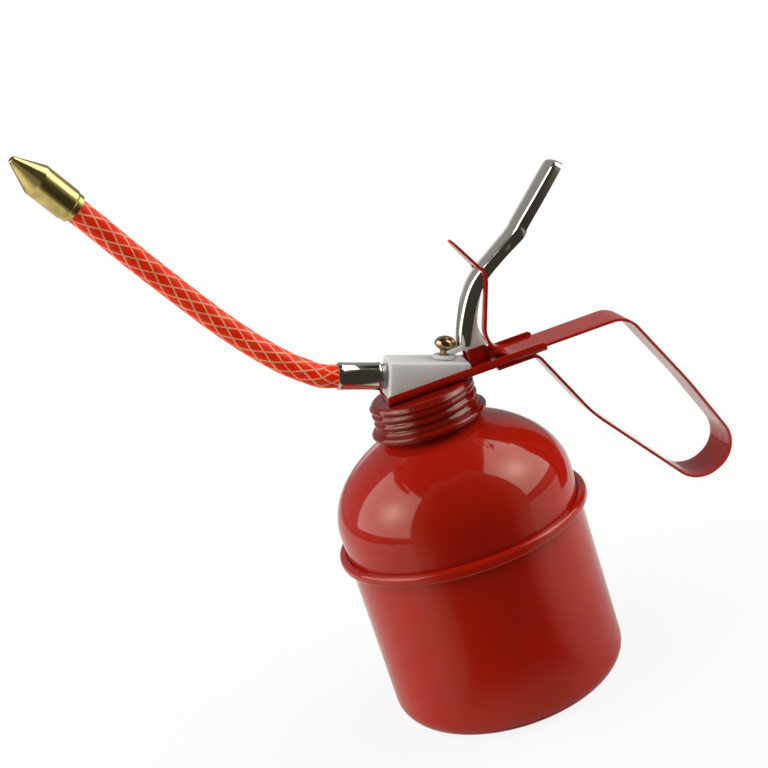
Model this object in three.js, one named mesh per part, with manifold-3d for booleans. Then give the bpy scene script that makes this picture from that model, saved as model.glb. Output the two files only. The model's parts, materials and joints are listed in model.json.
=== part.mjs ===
// Pump oil can: a seamed tin can with a screw cap that carries a thumb-lever pump,
// a strap handle and a flexible hose spout.
// Millimetres, +Z up along the can's axis, origin at the centre of the base.
// The handle points to +X and the hose to -X. The pump leans towards the handle.
import * as THREE from 'three';
import { mergeVertices } from 'three/addons/utils/BufferGeometryUtils.js';
import Module from 'manifold-3d';

const wasm = await Module();
wasm.setup();

// Fits
const SEAT = 0.2; // gap between faces that rest on each other
const BORE_GAP = 0.3; // gap round a piece that passes through a plain hole
const PIN_GAP = 0.08; // running gap of the lever on its pin
const THROUGH = 60; // length of a tool that cuts right through

// Can
const CAN_RADIUS = 40.25;
const CAN_SHEET = 0.7;
const BASE_CORNER = 7;
const SEAM_HEIGHT = 60.5;
const SEAM_FLANGE = 1.75;
const SEAM_SHEET = 0.8;
const SEAM_EDGE = 1.4; // rounding of the rolled seam
const DOME_STRAIGHT = 8.7; // upright wall above the seam
const DOME_RISE = 25.8; // from the upright wall to the root of the neck
const DOME_SWEEP = 55; // degrees of the ellipse that the shoulder follows
const NECK_FLARE = 1.1; // how far the shoulder stands out from the neck

// Neck and screw cap
const THREAD_RADIUS = 15.95; // middle of the neck's rolled thread
const THREAD_DEPTH = 0.45;
const THREAD_PITCH = 2.65;
const THREAD_CLEARANCE = 0.5;
const NECK_HEIGHT = 11.3;
const NECK_WALL = 1;
const GASKET_THICKNESS = 1.3;
const CAP_SHEET = 0.85;
const CAP_SKIRT = 10.9;
const CAP_EDGE = 1.6; // rounding between the cap's top and skirt
const HEM_RADIUS = 1.15; // rolled bead at the cap's lower edge

// Strap handle
const STRAP_SHEET = 0.9;
const STRAP_WIDTH = 16.8;
const STRAP_TAIL_FRONT = 25.4; // where the strap's end stops under the bracket
const LEAF_SETBACK = 2.3; // from the lever's pivot to the upright leaf
const LEAF_TIP = [-1.1, 41.4]; // from the foot of the leaf: x, z
const LEAF_BEND = [5.9, 28.6, 6.5]; // x, z, bend radius
const LEAF_WAIST = [0, 11, 6];
const LEAF_FOOT_BEND = 9.8;
const LEAF_END = 4; // half width at the tip
const LEAF_CORNER = 3;
const LEAF_SLOT_FOOT = 3.7; // lower end of the slot above the strap's run
const LEAF_SLOT_SIDE = 0.8; // room beside the lever in the slot
const LEAF_SLOT_TOP = 1; // room above the lever in the slot
// Corners of the hand loop, from the strap's run at the can's axis: x, z, bend radius
const LOOP_TOP = [71.3, 0, 8.5];
const LOOP_SIDE = [85.2, -27.9, 120];
const LOOP_REAR = [97.4, -56.5, 10];
const LOOP_BOTTOM = [79.8, -64.1, 10.4];
const LOOP_RETURN = [51.6, -27.7, 40];
const LOOP_TAIL = 39.2; // where the return bends into the tail
const LOOP_TAIL_BEND = 3;

// Bracket
const BRACKET_SHEET = 0.9;
const BRACKET_SIDE = 0.55; // room beside the strap
const BRACKET_FRONT = 12; // from the can's axis towards the hose
const BRACKET_REAR = 42.6; // from the can's axis towards the handle
const BRACKET_WALL = 2.3; // wall height above the bracket's floor
const BRACKET_BEND = 1.9;

// Outlet valve in the pump head
const OUTLET_BALL = 1.8;
const OUTLET_LAP = 0.6; // how far the ball covers its seat
const OUTLET_ROOM = 0.8; // room round the ball
const OUTLET_SEAT = 8.5; // pump axis to the ball's seat
const OUTLET_RISE = 0.3; // outlet axis above the crossing of pump axis and bracket
const OUTLET_SPRING = 3.6;
const OUTLET_SPRING_WIRE = 0.18;
const OUTLET_SPRING_TURNS = 4;

// Pump head
const PUMP_LEAN = THREE.MathUtils.degToRad(19.8);
const HEAD_RISE = 6; // along the pump axis, bracket to the head's top
const HEAD_NOSE = 19.1; // pump axis to the head's outlet face
const HEAD_TAIL = 8.7; // pump axis to the head's rear face, along the bracket
const HEAD_WALL = 2.2; // beside the cylinder
const HEAD_EDGE = 0.6;

// Plunger and cylinder
const ROD_RADIUS = 1.6;
const BALL_RADIUS = 3.5;
const BALL_RISE = 2.35; // half height of the flattened ball
const GLAND_WALL = 1.1; // spigot round the rod
const GLAND_STEP = 1; // head beyond the spigot
const GLAND_HEIGHT = 1.3;
const GLAND_DEPTH = 1.2;
const PACKING_HEIGHT = 0.8;
const CYLINDER_RADIUS = 4.5;
const CYLINDER_WALL = 1;
const CYLINDER_LAND = 0.4; // above the outlet port
const CYLINDER_LENGTH = 36;
const PISTON_HEIGHT = 5;
const PISTON_GAP = 0.2;
const PISTON_FOOT = 4; // cylinder's lower end up to the piston at rest
const SEAL_HEIGHT = 1.6;
const SEAL_DEPTH = 1;
const SEAL_GAP = 0.08;
const SPRING_WIRE = 0.35;
const SPRING_TURNS = 8;
const SPRING_GAP = 0.4; // spring to the bore round it

// Parts under the cap
const WEDGE_WALL = 0.8;
const WEDGE_THIN = 0.5;
const WEDGE_GAP = 0.45; // washer to the inside of the neck
const CLAMP_WALL = 1.5;
const CLAMP_HEIGHT = 3.4;
const VALVE_LENGTH = 11.5;
const VALVE_LIP = 0.9;
const INLET_BALL = 1.9;
const INLET_LAP = 0.7; // how far the ball covers its seat
const INLET_ROOM = 0.7; // room round the ball
const TUBE_RADIUS = 2.5;
const TUBE_WALL = 0.9;
const TUBE_SOCKET = 3.4; // how far the dip tube enters the foot valve
const STRAINER_WALL = 1;
const STRAINER_LENGTH = 8;
const STRAINER_SLOT = 1.2;
const STRAINER_FLOOR_GAP = 3; // strainer to the inside of the can's base

// Hose spout
const FERRULE_RADIUS = 4.6;
const FERRULE_RIM = 0.55;
const FERRULE_LENGTH = 14;
const NIPPLE_RADIUS = 2;
const NIPPLE_WALL = 1;
const COLLAR_RADIUS = 4.2; // of the nipple, between head and ferrule
const COLLAR_LENGTH = 1.7;
const HOSE_RADIUS = 3.85;
const HOSE_WALL = 1.85;
const HOSE_STEP = 14; // length of one straight piece of the hose's mesh
const TIP_RADIUS = 5.05;
const TIP_BODY = 14.2;
const TIP_CONE = 9.4;
const TIP_FLAT = 1.1; // radius of the blunt end
const TIP_ORIFICE = 0.6;
const TIP_GROOVE = 1.7;
const TIP_GROOVE_DEPTH = 0.3;

// Lever
const LEVER_ARM = 13.8; // pump axis to the pivot, along the bracket
const PIVOT_RISE = 3.5; // pivot above the bracket's floor
const PIN_RADIUS = 1.2;
const PIN_HEAD_STEP = 0.6;
const PIN_HEAD_HEIGHT = 0.35;
const EAR_FRONT = 4.8; // from the pin's axis towards the hose
const EAR_REAR = 2;
const EAR_TOP = 3.3; // above the pin's axis
const EAR_CORNER = 1;
const LEVER_SHEET = 1;
const LEVER_FOLD = 1; // bevel of the folds between web and flanges
const LEVER_HEEL = 3.3; // half width over the pivot
const HEEL_RADIUS = 2.2;
const TOE_RISE = THREE.MathUtils.degToRad(3); // slope of the toe, up towards the pivot
const TOE_GAP = 0.35; // toe to the ball
const TOE_ROOM = 0.75; // toe to the gland nut
const TOE_HEIGHT = 1.75;
const TOE_STOP = 1.3; // full height of the toe ends this far behind the point under the ball's centre
const TOE_TIP = 2.2; // tapered end of the toe beyond that
// Outer line of the lever's web from the pivot: x, z, half width, flange depth
const LEVER_AT_LEAF = [6.6, 26.7, 5, 3.7]; // the web passes through the leaf just before this point
const LEVER_LINE = [
  [-6.5, 5, LEVER_HEEL, 3.4],
  [-5.9, 7.1, LEVER_HEEL, 3.9],
  [-3.7, 12.6, 3.6, 4.1],
  [-0.6, 18.7, 4.2, 4.2],
  [2.6, 23.2, 4.6, 4.1],
  LEVER_AT_LEAF,
  [13.4, 30.9, 5.4, 3.5],
  [20.9, 35.5, 5.8, 3.8],
  [23.4, 37.8, 6, 3.4],
  [30.4, 44.1, 6.2, 3.3],
  [37.4, 50.5, 6.2, 3.2],
  [39.6, 52.4, 5.2, 2.4],
  [40.5, 53.2, 3.4, 1.6],
];
// Rear edge of the boot plates from the pivot, downwards: x, z
const BOOT_BACK = [
  [6.1, 20.3],
  [3.8, 16.1],
  [2.4, 13.1],
  [1.5, 9.9],
  [1.5, 6.4],
  [2.5, 3],
];

// Facets round the axis
const CAN_FACETS = 36;
const CAP_FACETS = 28;
const PUMP_FACETS = 16;
const HOSE_FACETS = 10;
const THREAD_ROWS = 5; // rows of facets for each turn of thread

// Levels of the can and cap
const TAU = Math.PI * 2;
const domeFoot = SEAM_HEIGHT + DOME_STRAIGHT;
const neckFoot = domeFoot + DOME_RISE;
const neckTop = neckFoot + NECK_HEIGHT;
const neckBore = THREAD_RADIUS - THREAD_DEPTH - NECK_WALL;
const gasketLow = neckTop + SEAT;
const capUnder = gasketLow + GASKET_THICKNESS + SEAT;
const capTop = capUnder + CAP_SHEET;
const capInner = THREAD_RADIUS + THREAD_CLEARANCE;
const capOuter = capInner + CAP_SHEET;
const capFoot = capUnder - CAP_SKIRT;
const bracketFloor = capTop + SEAT + BRACKET_SHEET;
const strapRun = bracketFloor + SEAT + STRAP_SHEET / 2;
const strapTail = bracketFloor - BRACKET_SHEET - SEAT - STRAP_SHEET / 2;

// The pump axis crosses the bracket's floor where its washer just clears the neck
const leanSin = Math.sin(PUMP_LEAN);
const leanCos = Math.cos(PUMP_LEAN);
const leanTan = Math.tan(PUMP_LEAN);
const wedgeRadius = CYLINDER_RADIUS + BORE_GAP + WEDGE_WALL;
const pumpX = neckBore - WEDGE_GAP - wedgeRadius / leanCos + (bracketFloor - capUnder) * leanTan;
const pivot = new THREE.Vector2(pumpX + LEVER_ARM, bracketFloor + PIVOT_RISE);
const pumpFrame = new THREE.Matrix4().makeRotationY(PUMP_LEAN).setPosition(pumpX, 0, bracketFloor);

// Heights along the pump axis, from the bracket's floor
const outletBore = OUTLET_BALL - OUTLET_LAP;
const outletChamber = OUTLET_BALL + OUTLET_ROOM;
const cylinderTop = OUTLET_RISE + outletBore + CYLINDER_LAND;
const cylinderLow = cylinderTop - CYLINDER_LENGTH;
const cylinderBore = CYLINDER_RADIUS - CYLINDER_WALL;
const rodHole = ROD_RADIUS + SEAT;
const glandSpigot = rodHole + GLAND_WALL;
const glandLow = HEAD_RISE - GLAND_DEPTH;
const packingTop = glandLow - SEAT;
const packingLow = packingTop - PACKING_HEIGHT;
const pistonLow = cylinderLow + PISTON_FOOT;
const pistonTop = pistonLow + PISTON_HEIGHT;
const pistonRadius = cylinderBore - PISTON_GAP;
const sealMiddle = (pistonTop + pistonLow) / 2;

// The ball stands high enough for the lever's toe to pass between it and the gland nut
const grip = LEVER_HEEL - LEVER_SHEET;
const underBall = BALL_RISE * Math.sqrt(1 - (grip / BALL_RADIUS) ** 2) + TOE_GAP;
const toeLean = PUMP_LEAN + TOE_RISE;
const toeUnder = (underBall + TOE_HEIGHT) * Math.cos(toeLean) - TOE_STOP * Math.sin(toeLean);
const glandTop = HEAD_RISE + SEAT + GLAND_HEIGHT;
const ballCentre = glandTop + TOE_ROOM + toeUnder;

const oilCan = new THREE.Group();
const pumpGroup = new THREE.Group();
pumpGroup.applyMatrix4(pumpFrame);
oilCan.add(pumpGroup);

// Finishes
const redPaint = () => new THREE.MeshStandardMaterial({ color: 0xa01a12, roughness: 0.25, metalness: 0.1 });
const chrome = () => new THREE.MeshStandardMaterial({ color: 0xc8c8c4, roughness: 0.12, metalness: 1 });
const steel = () => new THREE.MeshStandardMaterial({ color: 0x9a9a98, roughness: 0.35, metalness: 1 });
const brass = () => new THREE.MeshStandardMaterial({ color: 0xa8884a, roughness: 0.3, metalness: 1 });
const whitePlastic = () => new THREE.MeshStandardMaterial({ color: 0xd8d8d4, roughness: 0.4, metalness: 0 });
const rubber = () => new THREE.MeshStandardMaterial({ color: 0x242422, roughness: 0.8, metalness: 0 });
const hosePlastic = () => new THREE.MeshStandardMaterial({ color: 0xd0401e, roughness: 0.35, metalness: 0 });

function addPart(name, geometry, material, group = oilCan) {
  const mesh = new THREE.Mesh(geometry, material);
  mesh.name = name;
  group.add(mesh);
}

// Joining and cutting
function toSolid(geometry) {
  const bare = geometry.clone();
  bare.deleteAttribute('normal');
  bare.deleteAttribute('uv');
  const merged = mergeVertices(bare, 1e-4);
  const mesh = new wasm.Mesh({
    numProp: 3,
    vertProperties: new Float32Array(merged.attributes.position.array),
    triVerts: new Uint32Array(merged.index.array),
  });
  return new wasm.Manifold(mesh);
}

function toGeometry(solid) {
  const mesh = solid.getMesh();
  const geometry = new THREE.BufferGeometry();
  geometry.setAttribute('position', new THREE.BufferAttribute(mesh.vertProperties, 3));
  geometry.setIndex(new THREE.BufferAttribute(mesh.triVerts, 1));
  return geometry;
}

function cut(geometry, ...tools) {
  return toGeometry(tools.reduce((solid, tool) => solid.subtract(toSolid(tool)), toSolid(geometry)));
}

function join(...geometries) {
  return toGeometry(geometries.map(toSolid).reduce((solid, next) => solid.add(next)));
}

// Shapes
const point = (x, y) => new THREE.Vector2(x, y);

function arc(x, y, radius, from, to, steps) {
  const points = [];
  for (let i = 0; i <= steps; i += 1) {
    const angle = THREE.MathUtils.degToRad(from + (to - from) * i / steps);
    points.push(point(x + radius * Math.cos(angle), y + radius * Math.sin(angle)));
  }
  return points;
}

// Turned piece about Z from points of radius and height; an open profile ends on the axis.
function turned(pairs, facets = PUMP_FACETS) {
  const points = pairs.map((pair) => (Array.isArray(pair) ? point(...pair) : pair));
  if (points[0].x > 0) points.push(points[0].clone());
  const geometry = new THREE.LatheGeometry(points, facets);
  geometry.rotateX(Math.PI / 2);
  return toGeometry(toSolid(outwardFaces(geometry)));
}

function rod(radius, low, high, facets = PUMP_FACETS) {
  const geometry = new THREE.CylinderGeometry(radius, radius, high - low, facets);
  geometry.rotateX(Math.PI / 2);
  return geometry.translate(0, 0, (low + high) / 2);
}

// Flat outline in X and Z with a thickness along Y, centred on the given Y.
function plate(points, thickness, centreY = 0, bevel = 0) {
  const depth = thickness - 2 * bevel;
  const geometry = new THREE.ExtrudeGeometry(new THREE.Shape(points), {
    depth,
    bevelEnabled: bevel > 0,
    bevelSize: bevel,
    bevelThickness: bevel,
    bevelOffset: -bevel,
    bevelSegments: 2,
  });
  geometry.rotateX(Math.PI / 2);
  return geometry.translate(0, centreY + depth / 2, 0);
}

// Outline in Y and Z extruded along X.
function bar(points, low, high) {
  const options = { depth: high - low, bevelEnabled: false };
  const geometry = new THREE.ExtrudeGeometry(new THREE.Shape(points), options);
  const basis = new THREE.Matrix4().makeBasis(
    new THREE.Vector3(0, 1, 0),
    new THREE.Vector3(0, 0, 1),
    new THREE.Vector3(1, 0, 0),
  );
  return geometry.applyMatrix4(basis).translate(low, 0, 0);
}

// Smooth line through corners of x, z and bend radius.
function bentLine(corners) {
  const line = [point(corners[0][0], corners[0][1])];
  for (let i = 1; i < corners.length - 1; i += 1) {
    const corner = point(...corners[i]);
    const before = point(...corners[i - 1]).sub(corner).normalize();
    const after = point(...corners[i + 1]).sub(corner).normalize();
    const half = Math.acos(before.dot(after)) / 2;
    const radius = corners[i][2];
    const reach = radius / Math.tan(half);
    const centre = before.clone().add(after).normalize().multiplyScalar(radius / Math.sin(half)).add(corner);
    const start = before.multiplyScalar(reach).add(corner).sub(centre);
    const end = after.multiplyScalar(reach).add(corner).sub(centre);
    const turn = Math.atan2(start.cross(end), start.dot(end));
    const steps = Math.max(3, Math.ceil(Math.abs(turn) / 0.3));
    for (let k = 0; k <= steps; k += 1) {
      line.push(start.clone().rotateAround(point(0, 0), turn * k / steps).add(centre));
    }
  }
  const last = corners[corners.length - 1];
  line.push(point(last[0], last[1]));
  return line;
}

// Closed outline of a strip of even thickness along a line.
function strip(line, thickness) {
  const sides = [[], []];
  line.forEach((here, i) => {
    const next = line[Math.min(i + 1, line.length - 1)];
    const previous = line[Math.max(i - 1, 0)];
    const along = next.clone().sub(previous).normalize();
    const across = point(-along.y, along.x).multiplyScalar(thickness / 2);
    sides[0].push(here.clone().add(across));
    sides[1].push(here.clone().sub(across));
  });
  return sides[0].concat(sides[1].reverse());
}

// Closed mesh from rings of points; the rings join into a torus, or the ends are capped.
function skin(rings, { closed = false, caps = null } = {}) {
  const size = rings[0].length;
  const positions = rings.flat().flatMap((p) => [p.x, p.y, p.z]);
  const index = [];
  const count = closed ? rings.length : rings.length - 1;
  for (let i = 0; i < count; i += 1) {
    const a = i * size;
    const b = ((i + 1) % rings.length) * size;
    for (let j = 0; j < size; j += 1) {
      const k = (j + 1) % size;
      index.push(a + j, b + j, b + k, a + j, b + k, a + k);
    }
  }
  if (caps) {
    const last = (rings.length - 1) * size;
    for (const [i, j, k] of caps) {
      index.push(i, j, k);
      index.push(last + i, last + k, last + j);
    }
  }
  const geometry = new THREE.BufferGeometry();
  geometry.setAttribute('position', new THREE.Float32BufferAttribute(positions, 3));
  geometry.setIndex(index);
  return geometry;
}

// Coil spring along Z as one unbroken tube; also prints its least gap to itself.
function coil(name, radius, wire, turns, low, high) {
  const stepsPerTurn = 8;
  const sides = 5;
  const steps = turns * stepsPerTurn;
  const rings = [];
  const climb = (high - low - 2 * wire) / (turns * TAU);
  for (let i = 0; i <= steps; i += 1) {
    const turn = TAU * i / stepsPerTurn;
    const outward = new THREE.Vector3(Math.cos(turn), Math.sin(turn), 0);
    const along = new THREE.Vector3(-radius * Math.sin(turn), radius * Math.cos(turn), climb).normalize();
    const upward = new THREE.Vector3().crossVectors(outward, along).negate();
    const centre = outward.clone().multiplyScalar(radius);
    centre.z = low + wire + climb * turn;
    const ring = [];
    for (let s = 0; s < sides; s += 1) {
      const angle = TAU * s / sides;
      ring.push(centre.clone()
        .addScaledVector(outward, wire * Math.cos(angle))
        .addScaledVector(upward, wire * Math.sin(angle)));
    }
    rings.push(ring);
  }
  let leastGap = Infinity;
  for (const p of rings[0]) {
    for (const q of rings[stepsPerTurn]) leastGap = Math.min(leastGap, p.distanceTo(q));
  }
  console.log(`${name}: least gap between turns ${leastGap.toFixed(2)} mm`);
  const caps = [];
  for (let s = 1; s < sides - 1; s += 1) caps.push([0, s, s + 1]);
  return outwardFaces(skin(rings, { caps }));
}

// Faces of a closed mesh turned outwards.
function outwardFaces(geometry) {
  const position = geometry.attributes.position;
  const index = geometry.index.array;
  const corner = [new THREE.Vector3(), new THREE.Vector3(), new THREE.Vector3()];
  let volume = 0;
  for (let i = 0; i < index.length; i += 3) {
    corner.forEach((v, k) => v.fromBufferAttribute(position, index[i + k]));
    volume += corner[0].dot(corner[1].clone().cross(corner[2]));
  }
  if (volume < 0) {
    for (let i = 0; i < index.length; i += 3) [index[i], index[i + 1]] = [index[i + 1], index[i]];
  }
  return geometry;
}

// Threaded shell from a closed profile of radius, height and share of the thread's depth.
function threadedShell(profile, facets) {
  const rings = [];
  for (let i = 0; i < facets; i += 1) {
    const angle = TAU * i / facets;
    rings.push(profile.map(([radius, z, share]) => {
      const r = radius + share * THREAD_DEPTH * Math.cos(TAU * z / THREAD_PITCH - angle);
      return new THREE.Vector3(r * Math.cos(angle), r * Math.sin(angle), z);
    }));
  }
  return outwardFaces(skin(rings, { closed: true }));
}

// Rows of a threaded wall; at both ends the thread fades to the given side of its middle.
function threadRows(radius, low, high, side) {
  const rows = Math.round(THREAD_ROWS * (high - low) / THREAD_PITCH);
  const fade = THREAD_PITCH / 2;
  const wall = [];
  for (let i = 0; i <= rows; i += 1) {
    const z = low + (high - low) * i / rows;
    const share = Math.min(1, (z - low) / fade, (high - z) / fade);
    wall.push([radius + side * THREAD_DEPTH * (1 - share), z, share]);
  }
  return wall;
}

// Shoulder from an upright wall to the neck, as part of an ellipse.
function shoulder(outer, inner, foot, rise, steps) {
  const sweep = THREE.MathUtils.degToRad(DOME_SWEEP);
  const width = (outer - inner) / (1 - Math.cos(sweep));
  const points = [];
  for (let i = 0; i <= steps; i += 1) {
    const angle = sweep * i / steps;
    points.push([outer - width * (1 - Math.cos(angle)), foot + rise * Math.sin(angle) / Math.sin(sweep)]);
  }
  return points;
}

// Can body: a drawn cup with a flange at its rim
function canBody() {
  const flangeTop = SEAM_HEIGHT - SEAT / 2;
  const flangeLow = flangeTop - CAN_SHEET;
  const inner = CAN_RADIUS - CAN_SHEET;
  const centre = CAN_RADIUS - BASE_CORNER;
  return turned([
    [0, 0],
    ...arc(centre, BASE_CORNER, BASE_CORNER, -90, 0, 5),
    [CAN_RADIUS, flangeLow],
    [CAN_RADIUS + SEAM_FLANGE, flangeLow],
    [CAN_RADIUS + SEAM_FLANGE, flangeTop],
    [inner, flangeTop],
    ...arc(centre, BASE_CORNER, BASE_CORNER - CAN_SHEET, 0, -90, 4),
    [0, CAN_SHEET],
  ], CAN_FACETS);
}

// Dome: a flange, an upright wall, the shoulder and a rolled neck thread
function canDome() {
  const flangeLow = SEAM_HEIGHT + SEAT / 2;
  const flangeTop = flangeLow + CAN_SHEET;
  const inner = CAN_RADIUS - CAN_SHEET;
  const neckRoot = THREAD_RADIUS + NECK_FLARE;
  const threadRoot = THREAD_RADIUS - THREAD_DEPTH;
  const outside = shoulder(CAN_RADIUS, neckRoot, domeFoot, DOME_RISE, 9);
  const inside = shoulder(inner, neckBore, domeFoot, DOME_RISE, 7);
  const shell = turned([
    [inner, flangeLow],
    [CAN_RADIUS + SEAM_FLANGE, flangeLow],
    [CAN_RADIUS + SEAM_FLANGE, flangeTop],
    [CAN_RADIUS, flangeTop],
    ...outside,
    [threadRoot, neckFoot + NECK_FLARE],
    [neckBore, neckFoot + NECK_FLARE],
    ...inside.reverse(),
  ], CAN_FACETS);
  const neckLow = neckFoot + NECK_FLARE - SEAT;
  const neck = threadedShell([
    ...threadRows(THREAD_RADIUS, neckLow, neckTop, -1),
    [neckBore, neckTop, 0],
    [neckBore, neckLow, 0],
  ], CAP_FACETS);
  return join(shell, neck);
}

// Rolled seam that grips both flanges
function seamRing() {
  const lip = CAN_RADIUS + SEAT;
  const hollow = CAN_RADIUS + SEAM_FLANGE + SEAT;
  const outer = hollow + SEAM_SHEET;
  const half = SEAT / 2 + CAN_SHEET + SEAT;
  const top = SEAM_HEIGHT + half + SEAM_SHEET;
  const low = SEAM_HEIGHT - half - SEAM_SHEET;
  return turned([
    [lip, low],
    ...arc(outer - SEAM_EDGE, low + SEAM_EDGE, SEAM_EDGE, -90, 0, 3),
    ...arc(outer - SEAM_EDGE, top - SEAM_EDGE, SEAM_EDGE, 0, 90, 3),
    [lip, top],
    [lip, top - SEAM_SHEET],
    [hollow, top - SEAM_SHEET],
    [hollow, low + SEAM_SHEET],
    [lip, low + SEAM_SHEET],
  ], CAN_FACETS);
}

// Hole along the pump's axis through the bracket and the cap
function pumpHole() {
  return rod(CYLINDER_RADIUS + BORE_GAP, -THROUGH, THROUGH).applyMatrix4(pumpFrame);
}

// Screw cap: a drawn top, a skirt with the thread rolled in, and a beaded lower edge
function screwCap() {
  const bead = capOuter + HEM_RADIUS;
  const threadFoot = capFoot + 2 * HEM_RADIUS;
  const innerEdge = CAP_EDGE - CAP_SHEET;
  const flat = capOuter - 2 * CAP_EDGE;
  const plain = (p) => [p.x, p.y, 0];
  const skirt = threadedShell([
    ...threadRows(capOuter, threadFoot, capTop - CAP_EDGE, 1),
    ...arc(capOuter - CAP_EDGE, capTop - CAP_EDGE, CAP_EDGE, 30, 90, 2).map(plain),
    [flat, capTop, 0],
    [flat, capUnder, 0],
    ...arc(capInner - innerEdge, capUnder - innerEdge, innerEdge, 90, 45, 1).map(plain),
    ...threadRows(capInner, threadFoot, capUnder - innerEdge, 1).reverse(),
    [capInner + THREAD_DEPTH, capFoot, 0],
    ...arc(bead, capFoot + HEM_RADIUS, HEM_RADIUS, -90, 60, 4).map(plain),
  ], CAP_FACETS);
  const top = rod(flat + SEAT, capUnder, capTop, CAP_FACETS);
  return cut(join(skirt, top), pumpHole());
}

// Hole for the lever's pin through a piece of the given width
function pinHole(width) {
  const radius = PIN_RADIUS + PIN_GAP;
  return new THREE.CylinderGeometry(radius, radius, width, PUMP_FACETS).translate(pivot.x, 0, pivot.y);
}

// Bracket: a shallow channel on the cap with two ears for the lever's pin
const earInner = LEVER_HEEL + BORE_GAP;
const earOuter = earInner + BRACKET_SHEET;

function bracket() {
  const inside = STRAP_WIDTH / 2 + BRACKET_SIDE;
  const half = inside + BRACKET_SHEET;
  const low = bracketFloor - BRACKET_SHEET;
  const top = bracketFloor + BRACKET_WALL;
  const channel = bar([
    ...arc(-half + BRACKET_BEND, low + BRACKET_BEND, BRACKET_BEND, 180, 270, 3),
    ...arc(half - BRACKET_BEND, low + BRACKET_BEND, BRACKET_BEND, -90, 0, 3),
    point(half, top),
    point(inside, top),
    point(inside, bracketFloor),
    point(-inside, bracketFloor),
    point(-inside, top),
    point(-half, top),
  ], -BRACKET_FRONT, BRACKET_REAR);
  const earFront = pivot.x - EAR_FRONT;
  const earRear = pivot.x + EAR_REAR;
  const earBend = pivot.y + EAR_TOP - EAR_CORNER;
  const earShape = [
    point(earFront, bracketFloor - BRACKET_SHEET / 2),
    point(earRear, bracketFloor - BRACKET_SHEET / 2),
    ...arc(earRear - EAR_CORNER, earBend, EAR_CORNER, 0, 90, 4),
    ...arc(earFront + EAR_CORNER, earBend, EAR_CORNER, 90, 180, 4),
  ];
  const earMiddle = (earInner + earOuter) / 2;
  const ears = [-1, 1].map((side) => plate(earShape, BRACKET_SHEET, side * earMiddle));
  return cut(join(channel, ...ears), pinHole(2 * earOuter + SEAT), pumpHole());
}

// Lever pin with riveted heads outside the ears
function leverPin() {
  const reach = earOuter + SEAT;
  const head = reach + PIN_HEAD_HEIGHT;
  const rim = PIN_RADIUS + PIN_HEAD_STEP;
  const geometry = turned([
    [0, -head],
    [PIN_RADIUS, -head],
    [rim, -reach],
    [PIN_RADIUS, -reach],
    [PIN_RADIUS, reach],
    [rim, reach],
    [PIN_RADIUS, head],
    [0, head],
  ]);
  return geometry.rotateX(Math.PI / 2).translate(pivot.x, 0, pivot.y);
}

// Place where the lever's web passes through the strap's leaf
function leafCrossing(tip, bend) {
  const before = LEVER_LINE[LEVER_LINE.indexOf(LEVER_AT_LEAF) - 1];
  const low = point(...before).add(pivot);
  const high = point(...LEVER_AT_LEAF).add(pivot);
  const web = high.clone().sub(low);
  const leaf = tip.clone().sub(bend);
  const share = web.cross(low.clone().sub(bend)) / web.cross(leaf);
  return bend.clone().addScaledVector(leaf, share);
}

// Strap handle: slotted leaf, run along the bracket, hand loop and tail under the bracket
function strapHandle() {
  const leafX = pivot.x + LEAF_SETBACK;
  const fromLeaf = ([x, z, radius]) => [leafX + x, strapRun + z, radius];
  const fromAxis = ([x, z, radius]) => [x, strapRun + z, radius];
  const line = bentLine([
    fromLeaf(LEAF_TIP),
    fromLeaf(LEAF_BEND),
    fromLeaf(LEAF_WAIST),
    [leafX, strapRun, LEAF_FOOT_BEND],
    fromAxis(LOOP_TOP),
    fromAxis(LOOP_SIDE),
    fromAxis(LOOP_REAR),
    fromAxis(LOOP_BOTTOM),
    fromAxis(LOOP_RETURN),
    [LOOP_TAIL, strapTail, LOOP_TAIL_BEND],
    [STRAP_TAIL_FRONT, strapTail],
  ]);
  const tip = point(...fromLeaf(LEAF_TIP));
  const bend = point(...fromLeaf(LEAF_BEND));
  const slotTop = leafCrossing(tip, bend).y + LEAF_SLOT_TOP;
  const slotLow = strapRun + LEAF_SLOT_FOOT;
  const slotHalfLow = LEVER_HEEL + LEAF_SLOT_SIDE;
  const slotHalfTop = LEVER_AT_LEAF[2] + LEAF_SLOT_SIDE;
  const slot = bar([
    point(-slotHalfLow, slotLow),
    point(slotHalfLow, slotLow),
    point(slotHalfTop, slotTop),
    point(-slotHalfTop, slotTop),
  ], leafX - THROUGH, leafX + LEAF_BEND[0] + STRAP_WIDTH);
  const half = STRAP_WIDTH / 2;
  const above = tip.y + STRAP_WIDTH;
  const corners = bar([
    point(-STRAP_WIDTH, above),
    point(-STRAP_WIDTH, bend.y),
    point(-half, bend.y),
    ...arc(-LEAF_END + LEAF_CORNER, tip.y - LEAF_CORNER, LEAF_CORNER, 180, 90, 4),
    ...arc(LEAF_END - LEAF_CORNER, tip.y - LEAF_CORNER, LEAF_CORNER, 90, 0, 4),
    point(half, bend.y),
    point(STRAP_WIDTH, bend.y),
    point(STRAP_WIDTH, above),
  ].reverse(), leafX - STRAP_WIDTH, leafX + STRAP_WIDTH);
  return cut(plate(strip(line, STRAP_SHEET), STRAP_WIDTH), slot, corners);
}

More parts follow.
